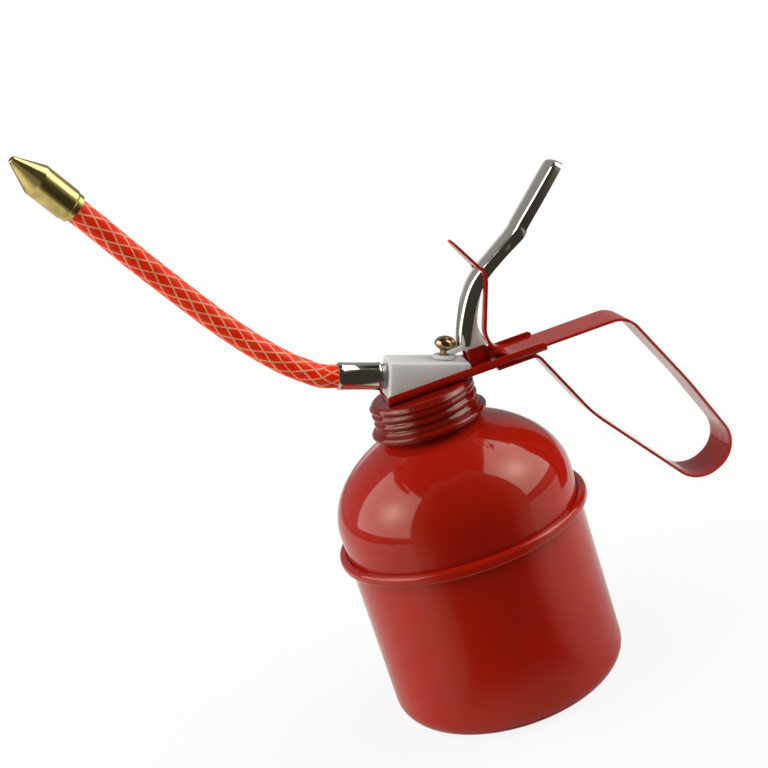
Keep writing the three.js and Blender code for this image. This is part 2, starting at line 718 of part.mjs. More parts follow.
// Lever: a folded channel that widens upwards, with toes under the ball and a heel on the pin
function lever() {
  const stations = LEVER_LINE.map(([x, z]) => point(x, z));
  const rings = LEVER_LINE.map(([x, z, half, depth], i) => {
    const next = stations[Math.min(i + 1, stations.length - 1)];
    const previous = stations[Math.max(i - 1, 0)];
    const along = next.clone().sub(previous).normalize();
    const inner = half - LEVER_SHEET;
    const section = [
      [0, -half + LEVER_FOLD],
      [0, half - LEVER_FOLD],
      [-LEVER_FOLD, half],
      [-depth, half],
      [-depth, inner],
      [-LEVER_SHEET, inner],
      [-LEVER_SHEET, -inner],
      [-depth, -inner],
      [-depth, -half],
      [-LEVER_FOLD, -half],
    ];
    return section.map(([out, y]) => {
      return new THREE.Vector3(pivot.x + x - out * along.y, y, pivot.y + z + out * along.x);
    });
  });
  const flat = rings[0].map((p) => point(p.y, p.x));
  const caps = THREE.ShapeUtils.triangulateShape(flat, []);
  const channel = outwardFaces(skin(rings, { caps }));
  const middle = LEVER_HEEL - LEVER_SHEET / 2;
  const sides = [-1, 1].map((side) => plate(bootOutline(), LEVER_SHEET, side * middle));
  return cut(join(channel, ...sides), pinHole(2 * LEVER_HEEL + SEAT));
}

// Side outline of the boot plates: toe under the ball, rear edge and heel round the pin
function bootOutline() {
  const ball = point(pumpX + ballCentre * leanSin, bracketFloor + ballCentre * leanCos);
  const normal = point(-Math.sin(TOE_RISE), Math.cos(TOE_RISE));
  const back = point(normal.y, -normal.x);
  const touch = ball.clone().addScaledVector(normal, -underBall);
  const insideWeb = ([x, z]) => point(x + LEVER_SHEET, z).add(pivot);
  const rootReach = insideWeb(LEVER_LINE[0]).sub(touch).dot(back);
  const toeTop = touch.clone().addScaledVector(back, TOE_STOP);
  const toeTip = touch.clone().addScaledVector(back, TOE_STOP - TOE_TIP);
  const tipHeight = TOE_HEIGHT - TOE_TIP * Math.tan(toeLean);
  const rootTop = touch.clone().addScaledVector(back, rootReach);
  return [
    toeTip,
    rootTop,
    insideWeb(LEVER_LINE[1]),
    insideWeb(LEVER_LINE[2]),
    ...BOOT_BACK.map(([x, z]) => point(x, z).add(pivot)),
    ...arc(pivot.x, pivot.y, HEEL_RADIUS, 30, -150, 8),
    rootTop.clone().addScaledVector(normal, -TOE_HEIGHT),
    toeTop.clone().addScaledVector(normal, -TOE_HEIGHT),
    toeTip.clone().addScaledVector(normal, -tipHeight),
  ];
}

// Pump head: a moulded block cut level by the bracket's floor, bored for gland, cylinder and outlet
function pumpHead() {
  const level = bracketFloor + SEAT;
  const place = (x, z) => {
    const p = new THREE.Vector3(x, 0, z).applyMatrix4(pumpFrame);
    return point(p.x, p.z);
  };
  const topFront = place(-HEAD_NOSE, HEAD_RISE);
  const lowFront = topFront.x - (topFront.y - level) * leanTan;
  const rear = pumpX + HEAD_TAIL;
  const topRear = topFront.y - (rear - topFront.x) * leanTan;
  const block = plate([
    point(lowFront, level),
    point(rear, level),
    point(rear, topRear),
    topFront,
  ], 2 * (CYLINDER_RADIUS + BORE_GAP + HEAD_WALL), 0, HEAD_EDGE);
  const bore = (radius, low, high) => rod(radius, low, high).applyMatrix4(pumpFrame);
  const outlet = (radius, near, far) => {
    const along = rod(radius, near, far).rotateY(-Math.PI / 2);
    return along.translate(0, 0, OUTLET_RISE).applyMatrix4(pumpFrame);
  };
  return cut(
    block,
    bore(glandSpigot + SEAT, packingLow - SEAT, THROUGH),
    bore(rodHole, 0, HEAD_RISE),
    bore(CYLINDER_RADIUS + BORE_GAP, -THROUGH, cylinderTop + SEAT),
    outlet(outletBore, 0, OUTLET_SEAT + SEAT),
    outlet(outletChamber, OUTLET_SEAT, THROUGH),
  );
}

// Gland nut: round head on the block, spigot in its bore
function glandNut() {
  const seat = HEAD_RISE + SEAT;
  const rim = glandSpigot + GLAND_STEP;
  const chamfer = GLAND_HEIGHT / 4;
  const head = turned([
    [0, seat],
    [rim, seat],
    [rim, glandTop - chamfer],
    [rim - chamfer, glandTop],
    [0, glandTop],
  ]);
  const spigot = rod(glandSpigot, glandLow, seat + chamfer);
  return cut(join(head, spigot), rod(rodHole, -THROUGH, THROUGH));
}

function ringPiece(inner, outer, low, high, facets = PUMP_FACETS) {
  return turned([
    [inner, low],
    [outer, low],
    [outer, high],
    [inner, high],
  ], facets);
}

// Plunger rod with its flattened ball head
function plungerRod() {
  const neckAngle = THREE.MathUtils.radToDeg(Math.asin(ROD_RADIUS / BALL_RADIUS));
  const round = arc(0, 0, 1, -90 + neckAngle, 75, 7);
  return turned([
    [0, pistonTop + SEAT],
    [ROD_RADIUS, pistonTop + SEAT],
    ...round.map((p) => [p.x * BALL_RADIUS, ballCentre + p.y * BALL_RISE]),
    [0, ballCentre + BALL_RISE],
  ]);
}

// Piston with a groove for its seal
function piston() {
  const grooveHalf = SEAL_HEIGHT / 2 + SEAT;
  const core = pistonRadius - SEAL_DEPTH;
  return turned([
    [0, pistonLow],
    [pistonRadius, pistonLow],
    [pistonRadius, sealMiddle - grooveHalf],
    [core, sealMiddle - grooveHalf],
    [core, sealMiddle + grooveHalf],
    [pistonRadius, sealMiddle + grooveHalf],
    [pistonRadius, pistonTop],
    [0, pistonTop],
  ]);
}

function pistonSeal() {
  const inner = pistonRadius - SEAL_DEPTH + SEAL_GAP;
  const half = SEAL_HEIGHT / 2;
  return ringPiece(inner, cylinderBore - SEAL_GAP, sealMiddle - half, sealMiddle + half);
}

// Cylinder with a port that lines up with the outlet
function pumpCylinder() {
  const tube = ringPiece(cylinderBore, CYLINDER_RADIUS, cylinderLow, cylinderTop);
  const port = rod(outletBore, 0, THROUGH).rotateY(-Math.PI / 2).translate(0, 0, OUTLET_RISE);
  return cut(tube, port);
}

// Wedge washer that squares the clamp nut with the cap
const wedgeLow = (capUnder - SEAT - bracketFloor) / leanCos - wedgeRadius * leanTan - WEDGE_THIN;

function wedgeWasher() {
  const inner = CYLINDER_RADIUS + BORE_GAP;
  const blank = ringPiece(inner, wedgeRadius, wedgeLow, HEAD_RISE).applyMatrix4(pumpFrame);
  const above = new THREE.BoxGeometry(THROUGH, THROUGH, THROUGH);
  return cut(blank, above.translate(0, 0, capUnder - SEAT + THROUGH / 2));
}

function clampNut() {
  const top = wedgeLow - SEAT;
  const inner = CYLINDER_RADIUS + SEAT;
  const blank = rod(inner + CLAMP_WALL, top - CLAMP_HEIGHT, top, 6);
  return cut(blank, rod(inner, -THROUGH, THROUGH));
}

// Foot valve under the cylinder, with the seat of the inlet ball and a socket for the dip tube
const valveTop = cylinderLow - SEAT;
const valveLow = valveTop - VALVE_LENGTH;
const socketTop = valveLow + TUBE_SOCKET;
const valvePort = INLET_BALL - INLET_LAP;
const valveChamber = INLET_BALL + INLET_ROOM;
const inletSeat = socketTop + valvePort;
const inletRest = inletSeat + Math.SQRT2 * INLET_BALL - valvePort + SEAT;

function footValve() {
  const cone = valveChamber - valvePort;
  return turned([
    [valvePort, valveTop],
    [valvePort, valveTop - VALVE_LIP],
    [valveChamber, valveTop - VALVE_LIP - cone],
    [valveChamber, inletSeat + cone],
    [valvePort, inletSeat],
    [valvePort, socketTop],
    [TUBE_RADIUS + SEAT, socketTop],
    [TUBE_RADIUS + SEAT, valveLow],
    [CYLINDER_RADIUS - VALVE_LIP, valveLow],
    [CYLINDER_RADIUS, valveLow + VALVE_LIP],
    [CYLINDER_RADIUS, valveTop],
  ]);
}

// Dip tube and strainer reach down to the front of the can's base
const strainerLow = (CAN_SHEET + STRAINER_FLOOR_GAP - bracketFloor) / leanCos;
const tubeLow = strainerLow + STRAINER_LENGTH / 2;

function strainer() {
  const inner = TUBE_RADIUS + SEAT;
  const outer = inner + STRAINER_WALL;
  const cup = turned([
    [0, strainerLow],
    [outer, strainerLow],
    [outer, strainerLow + STRAINER_LENGTH],
    [inner, strainerLow + STRAINER_LENGTH],
    [inner, strainerLow + STRAINER_WALL],
    [0, strainerLow + STRAINER_WALL],
  ]);
  const height = STRAINER_LENGTH / 3;
  const slots = [0, Math.PI / 2].map((turn) => {
    return new THREE.BoxGeometry(4 * outer, STRAINER_SLOT, height)
      .rotateZ(turn)
      .translate(0, 0, strainerLow + STRAINER_WALL + height / 2);
  });
  return cut(cup, ...slots);
}

function ball(radius, height) {
  return new THREE.SphereGeometry(radius, 12, 8).translate(0, 0, height);
}

// Outlet pieces lie along the outlet axis, which runs from the pump axis to the hose
const outletGroup = new THREE.Group();
outletGroup.position.z = OUTLET_RISE;
outletGroup.rotation.y = -Math.PI / 2;
pumpGroup.add(outletGroup);
const outletRest = OUTLET_SEAT + Math.sqrt(OUTLET_BALL ** 2 - outletBore ** 2) + SEAT;
const outletSpringLow = outletRest + OUTLET_BALL + SEAT;
const nippleLow = outletSpringLow + OUTLET_SPRING + SEAT;
const collarLow = HEAD_NOSE + SEAT;
const collarHigh = collarLow + COLLAR_LENGTH;
const ferruleLow = collarHigh + SEAT;
const ferruleHigh = ferruleLow + FERRULE_LENGTH;

// Nipple: a spigot in the head, a collar and a tail that the hose is crimped on
function hoseNipple() {
  const inner = NIPPLE_RADIUS - NIPPLE_WALL;
  const spigot = outletChamber - SEAT;
  return turned([
    [inner, nippleLow],
    [spigot, nippleLow],
    [spigot, collarLow],
    [COLLAR_RADIUS, collarLow],
    [COLLAR_RADIUS, collarHigh],
    [NIPPLE_RADIUS, collarHigh],
    [NIPPLE_RADIUS, ferruleHigh],
    [inner, ferruleHigh],
  ]);
}

// Ferrule: a crimped sleeve with a rounded rim at each end
function ferrule() {
  const inner = NIPPLE_RADIUS + SEAT;
  return turned([
    [inner, ferruleLow],
    [FERRULE_RADIUS - FERRULE_RIM, ferruleLow],
    [FERRULE_RADIUS, ferruleLow + FERRULE_RIM],
    [FERRULE_RADIUS, ferruleHigh - FERRULE_RIM],
    [FERRULE_RADIUS - FERRULE_RIM, ferruleHigh],
    [inner, ferruleHigh],
  ]);
}

// Hose: chosen points of its centre line after it leaves the ferrule
const hoseStart = new THREE.Vector3(-ferruleHigh - BORE_GAP, 0, OUTLET_RISE).applyMatrix4(pumpFrame);
const HOSE_ROUTE = [
  [-29.2, 0, 124.1],
  [-33.6, -0.2, 127.6],
  [-37.5, -0.5, 131.1],
  [-41.1, -0.9, 134.9],
  [-44.4, -1.4, 138.9],
  [-47.6, -2, 143],
  [-50.6, -2.7, 147.2],
  [-53.5, -3.5, 151.4],
  [-56.3, -4.4, 155.7],
  [-59, -5.5, 160.1],
  [-61.6, -6.6, 164.4],
  [-64.2, -7.9, 168.8],
  [-69.3, -10.8, 177.5],
  [-74.1, -14.1, 186.1],
  [-78.6, -17.7, 194.5],
  [-82.3, -20.6, 201.1],
];
const hoseCurve = new THREE.CatmullRomCurve3([
  hoseStart,
  ...HOSE_ROUTE.map((p) => new THREE.Vector3(...p)),
]);

function hose() {
  const ringOf = (radius) => arc(0, 0, radius, 0, 360 - 360 / HOSE_FACETS, HOSE_FACETS - 1);
  const section = new THREE.Shape(ringOf(HOSE_RADIUS));
  section.holes.push(new THREE.Path(ringOf(HOSE_RADIUS - HOSE_WALL).reverse()));
  const steps = Math.round(hoseCurve.getLength() / HOSE_STEP);
  return new THREE.ExtrudeGeometry(section, { steps, extrudePath: hoseCurve, bevelEnabled: false });
}

// Nozzle tip: a turned brass body with a pointed end and a fine orifice
function nozzleTip() {
  const collar = TIP_RADIUS - TIP_GROOVE_DEPTH;
  return turned([
    [TIP_ORIFICE, 0],
    [collar, 0],
    [collar, TIP_GROOVE],
    [TIP_RADIUS, TIP_GROOVE + TIP_GROOVE_DEPTH],
    [TIP_RADIUS, TIP_BODY],
    [TIP_FLAT, TIP_BODY + TIP_CONE],
    [TIP_ORIFICE, TIP_BODY + TIP_CONE],
  ]);
}

// Can
addPart('can_body', canBody(), redPaint());
addPart('can_dome', canDome(), redPaint());
addPart('seam_ring', seamRing(), redPaint());

// Cap, bracket, handle and lever
const gasketOuter = THREAD_RADIUS - SEAT;
const gasket = ringPiece(neckBore + SEAT, gasketOuter, gasketLow, gasketLow + GASKET_THICKNESS, CAP_FACETS);
addPart('screw_cap', screwCap(), redPaint());
addPart('cap_gasket', gasket, rubber());
addPart('bracket', bracket(), redPaint());
addPart('strap_handle', strapHandle(), redPaint());
addPart('lever', lever(), chrome());
addPart('lever_pin', leverPin(), redPaint());

// Pump
const packing = ringPiece(rodHole, glandSpigot, packingLow, packingTop);
const springRadius = cylinderBore - SPRING_GAP - SPRING_WIRE;
const springLow = pistonTop + SEAT;
const returnSpring = coil('return_spring', springRadius, SPRING_WIRE, SPRING_TURNS, springLow, cylinderTop);
const dipTube = ringPiece(TUBE_RADIUS - TUBE_WALL, TUBE_RADIUS, tubeLow, socketTop - SEAT);
addPart('pump_head', pumpHead(), whitePlastic());
addPart('wedge_washer', wedgeWasher(), whitePlastic());
addPart('gland_nut', glandNut(), whitePlastic(), pumpGroup);
addPart('gland_packing', packing, rubber(), pumpGroup);
addPart('plunger_rod', plungerRod(), brass(), pumpGroup);
addPart('piston', piston(), brass(), pumpGroup);
addPart('piston_seal', pistonSeal(), rubber(), pumpGroup);
addPart('return_spring', returnSpring, steel(), pumpGroup);
addPart('pump_cylinder', pumpCylinder(), steel(), pumpGroup);
addPart('clamp_nut', clampNut(), steel(), pumpGroup);
addPart('foot_valve', footValve(), brass(), pumpGroup);
addPart('inlet_ball', ball(INLET_BALL, inletRest), steel(), pumpGroup);
addPart('dip_tube', dipTube, whitePlastic(), pumpGroup);
addPart('strainer', strainer(), brass(), pumpGroup);

// Outlet and hose
const outletCoil = outletChamber - SPRING_GAP - OUTLET_SPRING_WIRE;
const outletSpring = coil(
  'outlet_spring',
  outletCoil,
  OUTLET_SPRING_WIRE,
  OUTLET_SPRING_TURNS,
  outletSpringLow,
  outletSpringLow + OUTLET_SPRING,
);
addPart('outlet_ball', ball(OUTLET_BALL, outletRest), steel(), outletGroup);
addPart('outlet_spring', outletSpring, steel(), outletGroup);
addPart('hose_nipple', hoseNipple(), steel(), outletGroup);
addPart('ferrule', ferrule(), chrome(), outletGroup);
addPart('hose', hose(), hosePlastic());
const tipGroup = new THREE.Group();
const tipAlong = hoseCurve.getTangent(1);
tipGroup.position.copy(hoseCurve.getPoint(1)).addScaledVector(tipAlong, BORE_GAP);
tipGroup.quaternion.setFromUnitVectors(new THREE.Vector3(0, 0, 1), tipAlong);
oilCan.add(tipGroup);
addPart('nozzle_tip', nozzleTip(), brass(), tipGroup);

export default oilCan;
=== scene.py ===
import json
import math

import bmesh
import bpy
from mathutils import Matrix, Vector


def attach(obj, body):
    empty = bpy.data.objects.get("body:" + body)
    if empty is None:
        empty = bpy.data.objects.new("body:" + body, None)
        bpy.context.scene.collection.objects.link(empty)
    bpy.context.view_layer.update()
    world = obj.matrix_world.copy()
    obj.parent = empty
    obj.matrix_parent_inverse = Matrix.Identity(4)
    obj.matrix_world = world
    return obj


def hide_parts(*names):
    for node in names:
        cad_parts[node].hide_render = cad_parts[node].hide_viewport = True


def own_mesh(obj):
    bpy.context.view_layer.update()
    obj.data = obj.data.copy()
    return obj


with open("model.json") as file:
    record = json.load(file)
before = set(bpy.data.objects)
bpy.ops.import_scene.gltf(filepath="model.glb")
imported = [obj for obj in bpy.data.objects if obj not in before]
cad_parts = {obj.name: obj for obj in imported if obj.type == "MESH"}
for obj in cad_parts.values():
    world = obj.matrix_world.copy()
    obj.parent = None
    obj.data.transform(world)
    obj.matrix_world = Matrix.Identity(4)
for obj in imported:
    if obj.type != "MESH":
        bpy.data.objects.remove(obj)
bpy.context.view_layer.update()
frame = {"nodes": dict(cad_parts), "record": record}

# The looks of a pump oil can: enamelled tin, chrome, brass, milky plastic and a braided hose.
# Sizes are in millimetres in the frame of the solid model; meshes are scaled to metres when made.
# Plain small numbers in the turned profiles are broken edges and beads.
MM = 0.001
TAU = 2 * math.pi
SMOOTH_ANGLE = 38
BEND_STEP = 0.12

# Camera, from the photograph's viewing angle
CAMERA_PLACE = (-51.7, -440, 235)
CAMERA_YAW = 5.34
CAMERA_PITCH = -15.26
CAMERA_ROLL = -18.28
IMAGE_SIZE = 768
FOCAL_PIXELS = 1408
SENSOR_WIDTH = 36

# Can
CAN_RADIUS = 40.25
CAN_SHEET = 0.7
CAN_SEGMENTS = 160
BASE_CORNER = 7
SEAM_HEIGHT = 60.5
SEAM_FLANGE = 1.75
SEAM_GAP = 0.2
SEAM_SHEET = 0.8
SEAM_EDGE = 1.4
SEAM_LIP = 0.25
DOME_FOOT = 69.2
DOME_RISE = 25.8
DOME_SWEEP = 55

# Neck and cap
THREAD_RADIUS = 15.95
THREAD_DEPTH = 0.45
THREAD_PITCH = 2.65
THREAD_ROWS = 16
NECK_FULLNESS = 2
CAP_FULLNESS = 1.3
CAP_SEGMENTS = 144
NECK_ROOT = 17.05
NECK_FILLET = 0.9
NECK_BORE = 14.5
NECK_TOP = 106.3
CAP_FOOT = 97.1
CAP_INNER = 16.45
CAP_OUTER = 17.3
CAP_UNDER = 108
CAP_TOP = 108.85
CAP_EDGE = 1.6
HEM_RADIUS = 1.15

# Bracket and strap
BRACKET_FRONT = -12
BRACKET_REAR = 42.6
BRACKET_FLOOR = 109.5
BRACKET_HALF = 9.4
BRACKET_TOP = 112.25
BRACKET_BEND = 1.45
BRACKET_CORNER = 1.5
BRACKET_CORNER_DROP = 0.7
BRACKET_EDGE = 0.25
BRACKET_ROWS = 63
BRACKET_CROWDING = 0.9
SHEET = 0.9
STRAP_HALF = 8.4
STRAP_EDGE = 0.26
STRAP_LINE = [
    (23.8, 152, 0),
    (30.8, 139.2, 6.5),
    (24.9, 121.6, 6),
    (24.9, 110.6, 9.8),
    (71.3, 110.6, 8.5),
    (85.2, 82.7, 120),
    (97.4, 54.1, 10),
    (79.8, 46.5, 10.4),
    (51.6, 82.9, 40),
    (39.2, 108.4, 3),
    (25.4, 108.4, 0),
]
LEAF_TAPER = 139.2
LEAF_END = 4
LEAF_CORNER = 3
SLOT_LOW = 114.3
SLOT_HIGH = 141.8
SLOT_HALF_LOW = 4.1
SLOT_HALF_HIGH = 5.8
SLOT_CORNER = 2
SLOT_SHARE = 0.75

# Lever and its pin
PIVOT = (22.6, 113.45)
PIN_RADIUS = 1.2
PIN_HOLE = 1.28
PIN_HEAD = 1.8
PIN_REACH = 4.7
PIN_CROWN = 0.35
PIN_CUT = 6
EAR_INNER = 3.6
EAR_FRONT = 17.8
EAR_REAR = 24.6
EAR_TOP = 116.75
EAR_CORNER = 1
EAR_EDGE = 0.15
LEVER_SHEET = 1
LEVER_FOLD = 1.5
LEVER_SPLAY = 0.1
# Points of the web's outer line from the pivot, half width and flange depth
LEVER_LINE = [
    (-6.5, 5, 3.3, 3.4),
    (-5.9, 7.1, 3.3, 3.9),
    (-3.7, 12.6, 3.6, 4.1),
    (-0.6, 18.7, 4.2, 4.2),
    (2.6, 23.2, 4.6, 4.1),
    (6.6, 26.7, 5, 3.7),
    (13.4, 30.9, 5.4, 3.5),
    (20.9, 35.5, 5.8, 3.8),
    (23.4, 37.8, 6, 3.4),
    (30.4, 44.1, 6.2, 3.3),
    (37.4, 50.5, 6.2, 3.2),
    (38.9, 51.8, 6.1, 3.1),
]
LEVER_CROWN = 0.12
LEVER_NOSE = 2.2
LEVER_NOSE_TAPER = 1.6
LEVER_STATIONS = 110
LEVER_STEP = 0.05
LEVER_NOSE_ROWS = 8
LEVER_KINK = 7.1
KINK_SWELL = 0.36
KINK_SWELL_REACH = 0.24
KINK_HOLLOW = 0.35
KINK_HOLLOW_AWAY = 0.6
KINK_HOLLOW_REACH = 0.22
TOE_RISE = 3
TOE_STOP = 1.3
TOE_HEIGHT = 1.75
TOE_TIP = 2.2
TOE_TIP_HEIGHT = 0.825
UNDER_BALL = 2.12135
HEEL_HALF = 3.3
HEEL_RADIUS = 2.2
BOOT_PROUD = 0.04
BOOT_EDGE = 0.2
BOOT_BACK = [(6.1, 20.3), (3.8, 16.1), (2.4, 13.1), (1.5, 9.9), (1.5, 6.4), (2.5, 3)]

# Pump
PUMP_X = 8.80016
PUMP_LEVEL = 109.95
PUMP_LEAN = 19.8
PUMP_CUT = 20
BORE_GAP = 0.2
CYLINDER_HOLE = 4.8
HEAD_OUTLINE = [(-11.43, 110.15), (17.5, 110.15), (17.5, 113.195), (-7.139, 122.064)]
HEAD_HALF = 7
HEAD_EDGE = 0.7
GLAND_POCKET = 3.6
GLAND_LOW = 4.8
GLAND_SEAT = 6.2
GLAND_TOP = 7.5
GLAND_RIM = 3.9
GLAND_SPIGOT = 2.9
GLAND_EDGE = 0.45
ROD_HOLE = 1.8
ROD_RADIUS = 1.6
ROD_LOW = -24.9
BALL_CENTRE = 11.31508
BALL_RADIUS = 3.5
BALL_RISE = 2.35
OUTLET_RISE = 0.3
OUTLET_SEAT = 8.5
OUTLET_CHAMBER = 2.6
CYLINDER_TOP = 1.9

# Springs: radius, wire radius, turns, low end and high end
RETURN_SPRING = (2.75, 0.35, 8, -24.9, 1.9)
OUTLET_SPRING = (2.02, 0.18, 4, 12.0416, 15.6416)
SPRING_STEPS = 32
SPRING_SIDES = 12

# Hose spout
NIPPLE_LOW = 15.8416
NIPPLE_BORE = 1
NIPPLE_SPIGOT = 2.4
NIPPLE_RADIUS = 2
COLLAR_LOW = 19.3
COLLAR_HIGH = 21
COLLAR_RADIUS = 4.2
FERRULE_LOW = 21.2
FERRULE_HIGH = 35.2
FERRULE_RADIUS = 4.6
FERRULE_SLACK = 0.08
HOSE_RADIUS = 3.85
HOSE_BORE = 2
HOSE_SOCKET = 1.6
HOSE_GAP = 0.3
HOSE_SIDES = 40
HOSE_ROUTE = [
    (-29.2, 0, 124.1),
    (-33.6, -0.2, 127.6),
    (-37.5, -0.5, 131.1),
    (-41.1, -0.9, 134.9),
    (-44.4, -1.4, 138.9),
    (-47.6, -2, 143),
    (-50.6, -2.7, 147.2),
    (-53.5, -3.5, 151.4),
    (-56.3, -4.4, 155.7),
    (-59, -5.5, 160.1),
    (-61.6, -6.6, 164.4),
    (-64.2, -7.9, 168.8),
    (-69.3, -10.8, 177.5),
    (-74.1, -14.1, 186.1),
    (-78.6, -17.7, 194.5),
    (-82.3, -20.6, 201.1),
]
BRAID_YARNS = 7
BRAID_PITCH = 52
TIP_RADIUS = 5.05
TIP_COLLAR = 4.75
TIP_GROOVE = 1.7
TIP_BODY = 14.2
TIP_CONE = 9.4
TIP_FLAT = 1.1
TIP_ORIFICE = 0.6
TIP_SLACK = 0.12
TIP_SOCKET = 2

# Stage
FLOOR_SIZE = 4000
FLOOR_SINK = 0.05
FLOOR_GLOW = 0.88
FLOOR_GLOW_FROM = 50
FLOOR_GLOW_FULL = 300
PAPER_TONE = (0.66, 0.64, 0.61, 1)
FLAG_NEAR = 46
FLAG_DARK_FROM = 85
FLAG_RADIUS = 130
FLAG_DARK_TURN = 28
FLAG_TURN = 50
FLAG_STRIPS = 60
FLAG_LOW = 0.5
FLAG_MIDDLE = 25
FLAG_PALE_TO = 130
FLAG_DARK_TO = 300
FLAG_HIGH = 600
FLAG_DARK = 0.05
FLAG_EDGE = 0.7
CLOTH_TONE = (1, 0.88, 0.74, 1)

# Brightness round the can, and where it changes as shares of the way backwards and upwards
WALLS = 0.33
BACKDROP_FROM = 0.97
BACKDROP_FULL = 0.99
CEILING = 0.03
CEILING_FROM = 0.75
CEILING_FULL = 0.95

# Lamps in metres: azimuth, elevation and radiance of each soft box, width and radiance of each glow
LAMP_AIM = (0, 0, 0.09)
BOXES = [("left", -88, 34, 2.5), ("right", 82, 36, 2.8)]
BOX_SIZE = (1.2, 0.95)
BOX_DISTANCE = 0.9
GLOW = [(0.62, 0.5), (0.46, 0.6), (0.34, 0.8), (0.24, 1.0), (0.15, 1.2)]
GLOW_DISTANCE = 0.85
GLOW_STEP = 0.02
GLOW_INWARD = 5
GLOW_RISE = 2

# Frames of the pump axis, of the outlet, which runs towards the hose, and of the lever's pin
PUMP = Matrix.Translation((PUMP_X, 0, PUMP_LEVEL)) @ Matrix.Rotation(math.radians(PUMP_LEAN), 4, "Y")
OUTLET = PUMP @ Matrix.Translation((0, 0, OUTLET_RISE)) @ Matrix.Rotation(-math.pi / 2, 4, "Y")
PIN = Matrix.Translation((PIVOT[0], 0, PIVOT[1])) @ Matrix.Rotation(math.pi / 2, 4, "X")


# Camera
def make_camera():
    yaw = math.radians(CAMERA_YAW)
    pitch = math.radians(CAMERA_PITCH)
    roll = math.radians(CAMERA_ROLL)
    forward = Vector((math.sin(yaw) * math.cos(pitch), math.cos(yaw) * math.cos(pitch), math.sin(pitch)))
    level = Vector((math.cos(yaw), -math.sin(yaw), 0))
    upright = level.cross(forward)
    right = math.cos(roll) * level + math.sin(roll) * upright
    top = math.cos(roll) * upright - math.sin(roll) * level
    data = bpy.data.cameras.new("camera")
    data.sensor_width = SENSOR_WIDTH
    data.lens = SENSOR_WIDTH * FOCAL_PIXELS / IMAGE_SIZE
    data.clip_start = 0.01
    camera = bpy.data.objects.new("camera", data)
    bpy.context.scene.collection.objects.link(camera)
    turn = Matrix((right, top, -forward)).transposed().to_4x4()
    camera.matrix_world = Matrix.Translation(Vector(CAMERA_PLACE) * MM) @ turn
    bpy.context.scene.camera = camera


make_camera()


# Flat outlines
def arc(x, z, radius, start, end, steps):
    """Points on a circle, from one angle to another in degrees."""
    angles = [math.radians(start + (end - start) * i / steps) for i in range(steps + 1)]
    return [(x + radius * math.cos(a), z + radius * math.sin(a)) for a in angles]


def bend(before, corner, after, radius):
    """Points of the arc that rounds a corner between two straight stretches."""
    corner = Vector(corner[:2])
    back = (Vector(before[:2]) - corner).normalized()
    ahead = (Vector(after[:2]) - corner).normalized()
    half = back.angle(ahead) / 2
    centre = corner + (back + ahead).normalized() * radius / math.sin(half)
    start = corner + back * radius / math.tan(half) - centre
    end = corner + ahead * radius / math.tan(half) - centre
    turn = math.atan2(start.x * end.y - start.y * end.x, start.dot(end))
    steps = max(3, math.ceil(abs(turn) / BEND_STEP))
    return [tuple(centre + Matrix.Rotation(turn * i / steps, 2) @ start) for i in range(steps + 1)]


def bent_line(corners):
    """Open line through corners of x, z and bend radius."""
    line = [corners[0][:2]]
    for before, corner, after in zip(corners, corners[1:], corners[2:]):
        line += bend(before, corner, after, corner[2])
    return line + [corners[-1][:2]]


def spaced(line, step):
    """The same line with more points on its long stretches."""
    points = [Vector(line[0])]
    for start, end in zip(line, line[1:]):
        parts = max(1, math.ceil((Vector(end) - Vector(start)).length / step))
        points += [Vector(start).lerp(Vector(end), (i + 1) / parts) for i in range(parts)]
    return points


# Meshes
def new_piece(name, vertices, faces, places=()):
    """Piece from points in millimetres, with a UV map where each face corner has a place."""
    mesh = bpy.data.meshes.new(name)
    mesh.from_pydata([Vector(v) * MM for v in vertices], [], faces)
    if places:
        layer = mesh.uv_layers.new(name="way")
        layer.data.foreach_set("uv", [x for place in places for x in place])
    piece = bpy.data.objects.new(name, mesh)
    bpy.context.scene.collection.objects.link(piece)
    clean(piece)
    return piece


def clean(piece):
    """Joins doubled points, turns the faces outwards and shades them smooth up to an angle."""
    form = bmesh.new()
    form.from_mesh(piece.data)
    bmesh.ops.remove_doubles(form, verts=form.verts, dist=1e-7)
    bmesh.ops.dissolve_degenerate(form, edges=form.edges, dist=1e-8)
    bmesh.ops.recalc_face_normals(form, faces=form.faces)
    form.to_mesh(piece.data)
    form.free()
    for face in piece.data.polygons:
        face.use_smooth = True
    piece.data.set_sharp_from_angle(angle=math.radians(SMOOTH_ANGLE))


def grid(name, rows, wrap_rows=False, wrap_columns=True, caps=False):
    """Piece of a grid of points, with a UV map of the column's share and the row's way in metres."""
    size = len(rows[0])
    vertices = [point for row in rows for point in row]
    row_count = len(rows) if wrap_rows else len(rows) - 1
    column_count = size if wrap_columns else size - 1
    way = [0]
    for i in range(row_count):
        beyond = rows[(i + 1) % len(rows)]
        way.append(way[-1] + (Vector(beyond[0]) - Vector(rows[i][0])).length * MM)
    faces, places = [], []
    for i in range(row_count):
        for j in range(column_count):
            here, beyond = i * size, ((i + 1) % len(rows)) * size
            k = (j + 1) % size
            faces.append((here + j, here + k, beyond + k, beyond + j))
            left, right = j / column_count, (j + 1) / column_count
            places += [(left, way[i]), (right, way[i]), (right, way[i + 1]), (left, way[i + 1])]
    if caps:
        last = (len(rows) - 1) * size
        faces.append(tuple(range(size)))
        faces.append(tuple(range(last + size - 1, last - 1, -1)))
        places += [(0, 0)] * size + [(0, way[-1])] * size
    return new_piece(name, vertices, faces, places)


def ring_of(radius, z, segments, place):
    angles = [TAU * i / segments for i in range(segments)]
    return [place @ Vector((radius * math.cos(a), radius * math.sin(a), z)) for a in angles]


